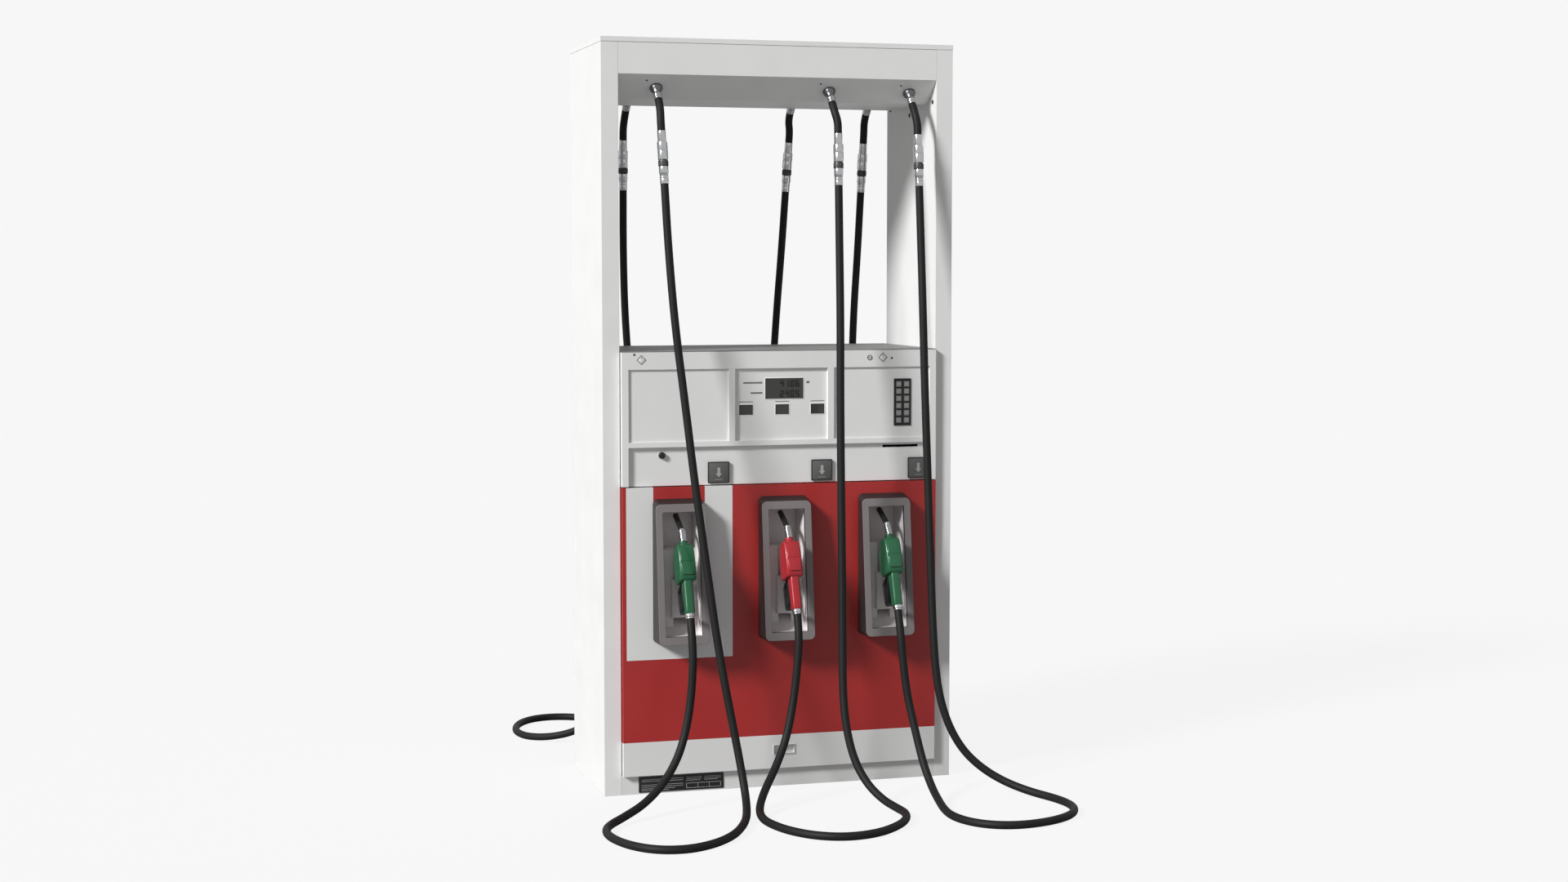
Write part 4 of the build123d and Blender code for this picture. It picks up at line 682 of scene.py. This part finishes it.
# Keypads
# A black moulded frame over twelve grey silicone keys, each with a paler printed pad and its figure.
keypad_black = moulded("black_abs", "#191919", 0.42, 1.8, 0.06, edge=0.5)
key_silicone = moulded("grey_silicone", "#7C7C7B", 0.6, 1.6, 0.05, edge=0.8, mottle=0.04)
key_print = moulded("key_pad_print", "#A5A5A3", 0.55, 1.6, 0.02)
KEYPAD = (401.0, 1218.0)
KEY_PITCH = (26.0, 23.0)
KEY_FACE_OUT = SIDE_WINDOW_Y + 2.5 + 1.5
KEY_FIGURES = ("1", "2", "3", "4", "5", "6", "7", "8", "9", "0", "4", "7")
dress("keypad_frames", keypad_black)
pad_pattern = slab((-5.6, -0.25, -5.6), (5.6, 0.1, 5.6), 0.15, 1)
for face, side in SIDES:
    dress(f"{face}_keypad_keys", key_silicone)
    for number, figure in enumerate(KEY_FIGURES):
        column = number % 2
        row = number // 2
        across = (column - 0.5) * KEY_PITCH[0] * -side
        up = (2.5 - row) * KEY_PITCH[1]
        place = stand(KEYPAD[0] + across, KEY_FACE_OUT, KEYPAD[1] + up, side)
        mat = f"{face}_keypad_keys"
        settle(another(pad_pattern), f"{face}_key_pad_{number}", place, key_print, mat)
        write_figures(
            figure, 5.0, 7.0, 1.1, place @ Matrix.Translation((-1.9 * MM, -0.2 * MM, -3.5 * MM)),
            f"{face}_key_figure_{number}", keypad_black, mat,
        )
put_away(pad_pattern)

# Start buttons
# Square ABS push buttons: a black bezel ring with a grey face let into it, and a printed arrow that points
# down at the nozzle it releases, over a thin bar.
button_edge = moulded("button_black_abs", "#303030", 0.42, 2.0, 0.05, edge=1.0)
button_face = moulded("button_grey_abs", "#5A5A59", 0.5, 2.0, 0.06, edge=0.8, mottle=0.04)
arrow_print = moulded("arrow_print", "#A3A3A1", 0.5, 1.6, 0.02)
START_X = (-204.0, 133.0, 455.0)
START_Z = 1007.0
START_OUT = RECESS_Y + 7.5
face_pattern = slab((-30.8, -0.9, -29.8), (30.8, 1.0, 29.8), 0.8, 2)
arrow_pattern = cut_out(
    [(-4.5, 15), (-4.5, -3), (-10, -3), (0, -15), (10, -3), (4.5, -3), (4.5, 15)], -1.15, 0.4, 0.1, 1, "y"
)
bar_pattern = slab((-13, -1.1, -22.6), (13, -0.8, -21.4), 0.1, 1)
for face, side in SIDES:
    for place, x in zip(PLACES, START_X):
        body = f"{face}_start_button_{place}"
        dress(body, button_edge)
        seat = stand(x, START_OUT, START_Z, side)
        for pattern, part, finish in (
            (face_pattern, "face", button_face),
            (arrow_pattern, "arrow", arrow_print),
            (bar_pattern, "bar", arrow_print),
        ):
            settle(another(pattern), f"{face}_start_{part}_{place}", seat, finish, body)
put_away(face_pattern, arrow_pattern, bar_pattern)

# Call buttons
# A small domed black button with a turned collar in the bezel's white, for calling the attendant.
call_black = moulded("call_button_black", "#1F1F1F", 0.36, 1.5, 0.03, edge=1.0)
CALL_X, CALL_Z = -385.0, 1064.0
collar_pattern = lathe([(10.6, 0), (10.6, 1.2), (12.2, 1.2), (12.8, 0.7), (12.8, 0)], 40, 0.15)
for face, side in SIDES:
    dress(f"{face}_call_button", call_black)
    upright = stand(CALL_X, RECESS_Y, CALL_Z, side) @ Matrix.Rotation(math.pi / 2, 4, "X")
    settle(another(collar_pattern), f"{face}_call_collar", upright, bezel_white, "dispenser")
put_away(collar_pattern)

# Doors
# Folded steel doors in glossy signal red over the powder coat, with a white graphic behind the left
# holder and a bare white band at the foot. The graphics are cut vinyl, so their edges are crisp.
DOOR_RED = "#A82B2A"
DOOR_WHITE = "#DEDEDD"
door_paint = moulded("signal_red_enamel", DOOR_RED, 0.36, 3.2, 0.05, edge=1.2, mottle=0.05)


def step_between(tree, source, low, high):
    """One inside a range of a coordinate, nothing outside it."""
    above = add_node(tree, "ShaderNodeMath", {"operation": "GREATER_THAN", 1: low * MM}, {0: source})
    below = add_node(tree, "ShaderNodeMath", {"operation": "LESS_THAN", 1: high * MM}, {0: source})
    links = {0: above.outputs[0], 1: below.outputs[0]}
    return add_node(tree, "ShaderNodeMath", {"operation": "MULTIPLY"}, links)


def lay_over(material, colour, rectangles, cutouts=()):
    """Lay a second colour over a material inside rectangles (x0, x1, z0, z1) in mm, less some cutouts."""
    tree = material.node_tree
    shader = next(node for node in tree.nodes if node.bl_idname == "ShaderNodeBsdfPrincipled")
    under = shader.inputs["Base Color"].links[0].from_socket
    place = add_node(tree, "ShaderNodeTexCoord")
    parts = add_node(tree, "ShaderNodeSeparateXYZ", links={0: place.outputs["Object"]})
    mask = None
    for sign, group in (("ADD", rectangles), ("SUBTRACT", cutouts)):
        for x0, x1, z0, z1 in group:
            inside = add_node(
                tree, "ShaderNodeMath", {"operation": "MULTIPLY"},
                {0: step_between(tree, parts.outputs["X"], x0, x1).outputs[0],
                 1: step_between(tree, parts.outputs["Z"], z0, z1).outputs[0]},
            )
            if mask is None:
                mask = inside
            else:
                mask = add_node(
                    tree, "ShaderNodeMath", {"operation": sign, "use_clamp": True},
                    {0: mask.outputs[0], 1: inside.outputs[0]},
                )
    over = add_node(
        tree, "ShaderNodeMix", {"data_type": "RGBA", 7: linear(colour)}, {0: mask.outputs[0], 6: under}
    )
    tree.links.new(over.outputs[2], shader.inputs["Base Color"])


lay_over(
    door_paint, DOOR_WHITE,
    [(-501, -161, 426, 980), (-520, 520, 0, 167)],
    [(-415, -250, 915, 980)],
)
for face, side in SIDES:
    dress(f"{face}_door", door_paint)

# Finger pulls
# Pressed steel cups with a thin rolled rim, white like the band they sit in.
pull_white = moulded("pressed_steel_cup", "#DCDCDB", 0.42, 2.4, 0.06, edge=1.2)
dress("door_pulls", pull_white)
PULL_X, PULL_Z = 8.0, 120.0
RIM_OUT = PANEL_Y + 1.6
pull_line = window_frame(66, 26, 0.8)
for face, side in SIDES:
    seat = stand(PULL_X, RIM_OUT, PULL_Z, side)
    settle(another(pull_line), f"{face}_pull_rim_line", seat, outline_grey, "dispenser")
put_away(pull_line)

# Nozzle holders
# Each holder is moulded in two colours: a charcoal case that stands off the door, and a mid-grey framed
# tray let into it. Inside, the tray is painted much paler as painted light, and a black line is painted as
# shade where the tray's liner meets its frame. A flat panel, also painted pale as painted light, lines the
# spout's pocket, and below it a block carries a fixed rest plate that the nozzle's guard lies in front of.
HOLDER_GREY = "#7C7676"
HOLDER_DARK = "#241F1F"
# The tray's inside is painted much paler than its frame: painted light that stands in for the light the
# pocket's walls keep off it.
TRAY_PAINTED_LIGHT = "#E0DBDB"
# The gap's black is painted shade: a dark line laid along the liner's rim, where shade falls between the
# tray's liner and its frame.
GAP_PAINTED_SHADE = "#171717"
holder_grey = moulded("structural_foam_grey", HOLDER_GREY, 0.5, 2.4, 0.10, edge=2.2, mottle=0.05)
POD_FACE_TOP = (306.0, 915.0)
POD_FACE_BOTTOM = (356.0, 483.0)
TRAY_HALF, TRAY_TOP, TRAY_BOTTOM = 63.0, 904.0, 503.0
LINER_HALF, LINER_BOTTOM = 57.5, 511.0
GAP_DEPTH, GAP_REACH = 8.0, 6.0
CASE_DEPTH, INNER_DEPTH = 2.0, 5.0
lean = (POD_FACE_BOTTOM[0] - POD_FACE_TOP[0]) / (POD_FACE_TOP[1] - POD_FACE_BOTTOM[1])
MASK_STEPS = (
    ("from_left", "SUBTRACT", "x", POD_X[0] * MM),
    ("from_mid", "SUBTRACT", "x", POD_X[1] * MM),
    ("from_right", "SUBTRACT", "x", POD_X[2] * MM),
    ("off_left", "ABSOLUTE", "from_left"),
    ("off_mid", "ABSOLUTE", "from_mid"),
    ("off_right", "ABSOLUTE", "from_right"),
    ("nearer", "MINIMUM", "off_left", "off_mid"),
    ("across", "MINIMUM", "nearer", "off_right"),
    ("out", "ABSOLUTE", "y"),
    ("face", "MULTIPLY_ADD", "z", -lean, (POD_FACE_TOP[0] + lean * POD_FACE_TOP[1]) * MM),
    ("behind", "SUBTRACT", "face", "out"),
    ("beside", "GREATER_THAN", "across", TRAY_HALF * MM),
    ("over_tray", "GREATER_THAN", "z", TRAY_TOP * MM),
    ("under_tray", "LESS_THAN", "z", TRAY_BOTTOM * MM),
    ("beside_or_over", "MAXIMUM", "beside", "over_tray"),
    ("outside", "MAXIMUM", "beside_or_over", "under_tray"),
    ("set_back", "GREATER_THAN", "behind", CASE_DEPTH * MM),
    ("case", "MULTIPLY", "outside", "set_back"),
    ("inside", "GREATER_THAN", "behind", INNER_DEPTH * MM),
    ("liner_edge", "GREATER_THAN", "across", LINER_HALF * MM),
    ("liner_foot", "LESS_THAN", "z", LINER_BOTTOM * MM),
    ("liner_rim", "MAXIMUM", "liner_edge", "liner_foot"),
    ("near_face", "COMPARE", "behind", GAP_DEPTH * MM, GAP_REACH * MM),
    ("gap", "MULTIPLY", "liner_rim", "near_face"),
)
tree = holder_grey.node_tree
spot = add_node(tree, "ShaderNodeTexCoord").outputs["Object"]
where = add_node(tree, "ShaderNodeSeparateXYZ", links={0: spot}).outputs
sockets = {"x": where["X"], "y": where["Y"], "z": where["Z"]}
for name, operation, *terms in MASK_STEPS:
    settings, links = {"operation": operation}, {}
    for number, term in enumerate(terms):
        (links if term in sockets else settings)[number] = sockets.get(term, term)
    sockets[name] = add_node(tree, "ShaderNodeMath", settings, links).outputs[0]
shader = next(node for node in tree.nodes if node.bl_idname == "ShaderNodeBsdfPrincipled")
colour = shader.inputs["Base Color"].links[0].from_socket
# Painted light on the tray's inside, painted shade along the liner's rim, then the case's own charcoal.
for mask, paint in (("inside", TRAY_PAINTED_LIGHT), ("gap", GAP_PAINTED_SHADE), ("case", HOLDER_DARK)):
    layer = {"data_type": "RGBA", 7: linear(paint)}
    colour = add_node(tree, "ShaderNodeMix", layer, {0: sockets[mask], 6: colour}).outputs[2]
tree.links.new(colour, shader.inputs["Base Color"])

# The spout panel is painted far paler than the holder's grey: painted light that stands in for the light its
# deep pocket keeps off.
painted_light_panel = moulded("spout_panel_painted_light", "#D6D0D0", 0.48, 2.4, 0.10, edge=1.2, mottle=0.05)
POCKET_BACK = 206.3
PANEL_THICK = 4.0
panel_pattern = slab((-58.6, -POCKET_BACK - PANEL_THICK, 773.0), (58.6, -POCKET_BACK, 899.6), 1.6, 3)
for face, side in SIDES:
    for place, x in zip(PLACES, POD_X):
        panel = another(panel_pattern)
        seat = stand(x, 0, 0, side)
        settle(panel, f"{face}_spout_panel_{place}", seat, painted_light_panel, "dispenser")
put_away(panel_pattern)
for face, side in SIDES:
    dress(f"{face}_nozzle_holders", holder_grey)

# Nozzles
# Automatic nozzles: an aluminium valve body inside a two-part scuff cover of glossy vinyl, green for one
# fuel and red for the other, a black guard and lever, a plated ribbed spout with a black tip, and a plated
# swivel where the hose screws in. The cover's front has a raised pad with a crease across it.
green_vinyl = moulded("green_vinyl_cover", "#1B5838", 0.30, 3.0, 0.06, mottle=0.05, coat=0.15)
red_vinyl = moulded("red_vinyl_cover", "#A21F28", 0.30, 3.0, 0.06, mottle=0.05, coat=0.15)
guard_black = moulded("black_nylon_guard", "#1E1E1E", 0.40, 2.0, 0.06, mottle=0.1)
SPOUT_BENDS = (math.radians(14.6), math.radians(42.5))
SPOUT_ROOT = (-6.0, 232.0)
SPOUT_BASE = 243.0
RIB_RUN = 41.0
cover_pattern = cut_out(
    [(-23, 116), (44, 118), (54, 128), (58, 148), (56.5, 168), (51, 192), (41, 212), (30, 226),
     (15, 232), (-16, 232), (-24, 226), (-29, 208), (-32, 178), (-31, 146), (-28, 126)],
    -25.5, 51.0, 7.0, 4,
)
pad_pattern = cut_out(
    [(-17, 132), (17, 132), (20.4, 139), (21, 168.8), (-21, 168.8), (-20.4, 139)], -33.8, 7.0, 2.2, 3, "y"
)
pad_top_pattern = cut_out(
    [(-21, 171.2), (21, 171.2), (20, 206), (15, 218), (-15, 218), (-20, 206)], -33.8, 9.0, 2.2, 3, "y"
)
only(pad_top_pattern)
CREASE_Z = 0.171
PAD_TILT = Matrix.Rotation(math.radians(-6.5), 4, "X")
pad_top_pattern.matrix_world = (
    Matrix.Translation((0, 0.0005, CREASE_Z)) @ PAD_TILT @ Matrix.Translation((0, 0, -CREASE_Z))
)
bpy.ops.object.transform_apply(location=True, rotation=True, scale=True)
neck_pattern = lathe(
    [(17.5, 226), (17, 233), (14.2, 236), (13.2, 239), (14.0, 240), (14.0, 243), (13.2, 244.5), (9, 244.5)],
    48, 0.5,
)
handle_pattern = cut_out(
    [(-15.5, 13), (15.5, 13), (17, 30), (19, 100), (22, 124), (-22, 126), (-19, 100), (-17, 40)],
    -14.5, 29.0, 7.0, 4,
)
guard_pattern = cut_out(
    [(14, 22), (30, 23), (76, 30), (86, 36), (90, 46), (91, 70), (88, 104), (78, 113), (44, 126),
     (42, 120), (75, 108), (83, 100), (86, 70), (85, 50), (80, 40), (72, 36), (30, 29.5), (14, 29)],
    -11.0, 22.0, 1.8, 2,
)
swivel_pattern = lathe(
    [(10, -1), (13.2, -0.6), (14.0, 0.5), (14.0, 4), (13.4, 5), (16.0, 5.6), (16.2, 6.5), (16.2, 14),
     (15.4, 15.4), (10, 15.4)],
    48, 0.3,
)
ribs = [(8.6, 0)]
RIB_PITCH = 4.5
RIB_COUNT = 9
RIB_STEPS = ((10.4, 0.6), (10.6, 1.4), (10.6, 2.8), (10.4, 3.4), (8.4, 3.8), (8.4, 4.4))
for rib in range(RIB_COUNT):
    ribs += [(radius, rib * RIB_PITCH + height) for radius, height in RIB_STEPS]
ribs += [(9.4, 41.2), (9.4, 43.5)]
ribs_pattern = lathe(ribs, 40)
rib_rise = SPOUT_BASE - SPOUT_ROOT[1]
rib_start = Vector((0, SPOUT_ROOT[0] + rib_rise * math.tan(SPOUT_BENDS[0]), SPOUT_BASE)) * MM
rib_way = Vector((0, math.sin(SPOUT_BENDS[0]), math.cos(SPOUT_BENDS[0])))
only(ribs_pattern)
ribs_pattern.matrix_world = along(rib_start, rib_way)
bpy.ops.object.transform_apply(location=True, rotation=True, scale=True)
tip_pattern = lathe(
    [(8.0, 0), (9.3, 0.5), (9.3, 5), (8.7, 6), (8.7, 84), (8.9, 85), (8.9, 87), (8.4, 89.4), (6.8, 89.6),
     (6.6, 84)],
    40, 0.2,
)
tip_start = rib_start + rib_way * (RIB_RUN + 1.5) * MM
tip_way = Vector((0, math.sin(SPOUT_BENDS[1]), math.cos(SPOUT_BENDS[1])))
only(tip_pattern)
tip_pattern.matrix_world = along(tip_start - tip_way * 1.0 * MM, tip_way)
bpy.ops.object.transform_apply(location=True, rotation=True, scale=True)
trigger_pattern = cut_out(
    [(36.5, 126), (42, 129), (46, 125), (53, 86), (66, 60), (68, 44), (62, 41), (57, 50), (47, 80),
     (38, 108)],
    -9.0, 18.0, 2.0, 3,
)
for face, side in SIDES:
    for number, (place, x) in enumerate(zip(PLACES, POD_X)):
        cover_vinyl = red_vinyl if place == "mid" else green_vinyl
        cover_slot = "red_plastic" if place == "mid" else "green_plastic"
        hook = stand(x, -NOZZLE_END[0], NOZZLE_END[1], side) @ Matrix.Rotation(-NOZZLE_LEAN, 4, "X")
        body = f"{face}_nozzle_{place}"
        for pattern, part, finish, slot in (
            (cover_pattern, "cover", cover_vinyl, cover_slot),
            (pad_pattern, "lower_pad", cover_vinyl, cover_slot),
            (pad_top_pattern, "upper_pad", cover_vinyl, cover_slot),
            (neck_pattern, "neck", cover_vinyl, cover_slot),
            (handle_pattern, "handle", cover_vinyl, cover_slot),
            (guard_pattern, "guard", guard_black, "black_plastic"),
            (swivel_pattern, "swivel", chrome, "chrome"),
            (ribs_pattern, "spout_ribs", chrome, "chrome"),
            (tip_pattern, "spout_tip", guard_black, "black_plastic"),
        ):
            piece = settle(another(pattern), f"{body}_{part}", hook, finish, body)
            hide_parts(body)
        lever = settle(
            another(trigger_pattern), f"{face}_trigger_{place}_lever", hook, guard_black,
            f"{face}_trigger_{place}",
        )
        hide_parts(f"{face}_trigger_{place}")
put_away(
    cover_pattern, pad_pattern, pad_top_pattern, neck_pattern, handle_pattern, guard_pattern, swivel_pattern,
    ribs_pattern, tip_pattern, trigger_pattern,
)

# Fuel handling and power, inside the cabinet
# Cast-iron pumps and pulleys with a sandy skin, a blue enamelled motor, sand-cast alloy meters, drawn steel
# pipe and ribbed belts, under a galvanised tray that carries the electronics' box.
cast_iron = moulded("sand_cast_iron", "#4A4D50", 0.62, 4.0, 0.35, edge=1.5, metal=0.5, mottle=0.15)
motor_blue = moulded("motor_enamel", "#3C5A70", 0.4, 3.0, 0.08, edge=1.5)
meter_alloy = moulded("sand_cast_aluminium", "#A9A9A8", 0.5, 3.0, 0.25, edge=1.5, metal=0.9, mottle=0.1)
pipe_steel = moulded("drawn_steel_pipe", "#8A8A88", 0.38, 2.0, 0.04, metal=0.9, mottle=0.1)
galvanised = moulded("galvanised_sheet", "#A8ABAD", 0.42, 12.0, 0.02, edge=0.8, metal=0.8, mottle=0.12)
belt_rubber = moulded("belt_chloroprene", "#1D1D1D", 0.7, 2.0, 0.08)
for finish, nodes in (
    (cast_iron, ("pump_units", "drive_pulley", "left_pump_pulley", "right_pump_pulley")),
    (motor_blue, ("motor",)),
    (meter_alloy, ("meters",)),
    (pipe_steel, ("pipework", "inlet_pipes")),
    (galvanised, ("vapour_barrier", "control_box")),
    (belt_rubber, ("drive_belts",)),
):
    for node in nodes:
        dress(node, finish)
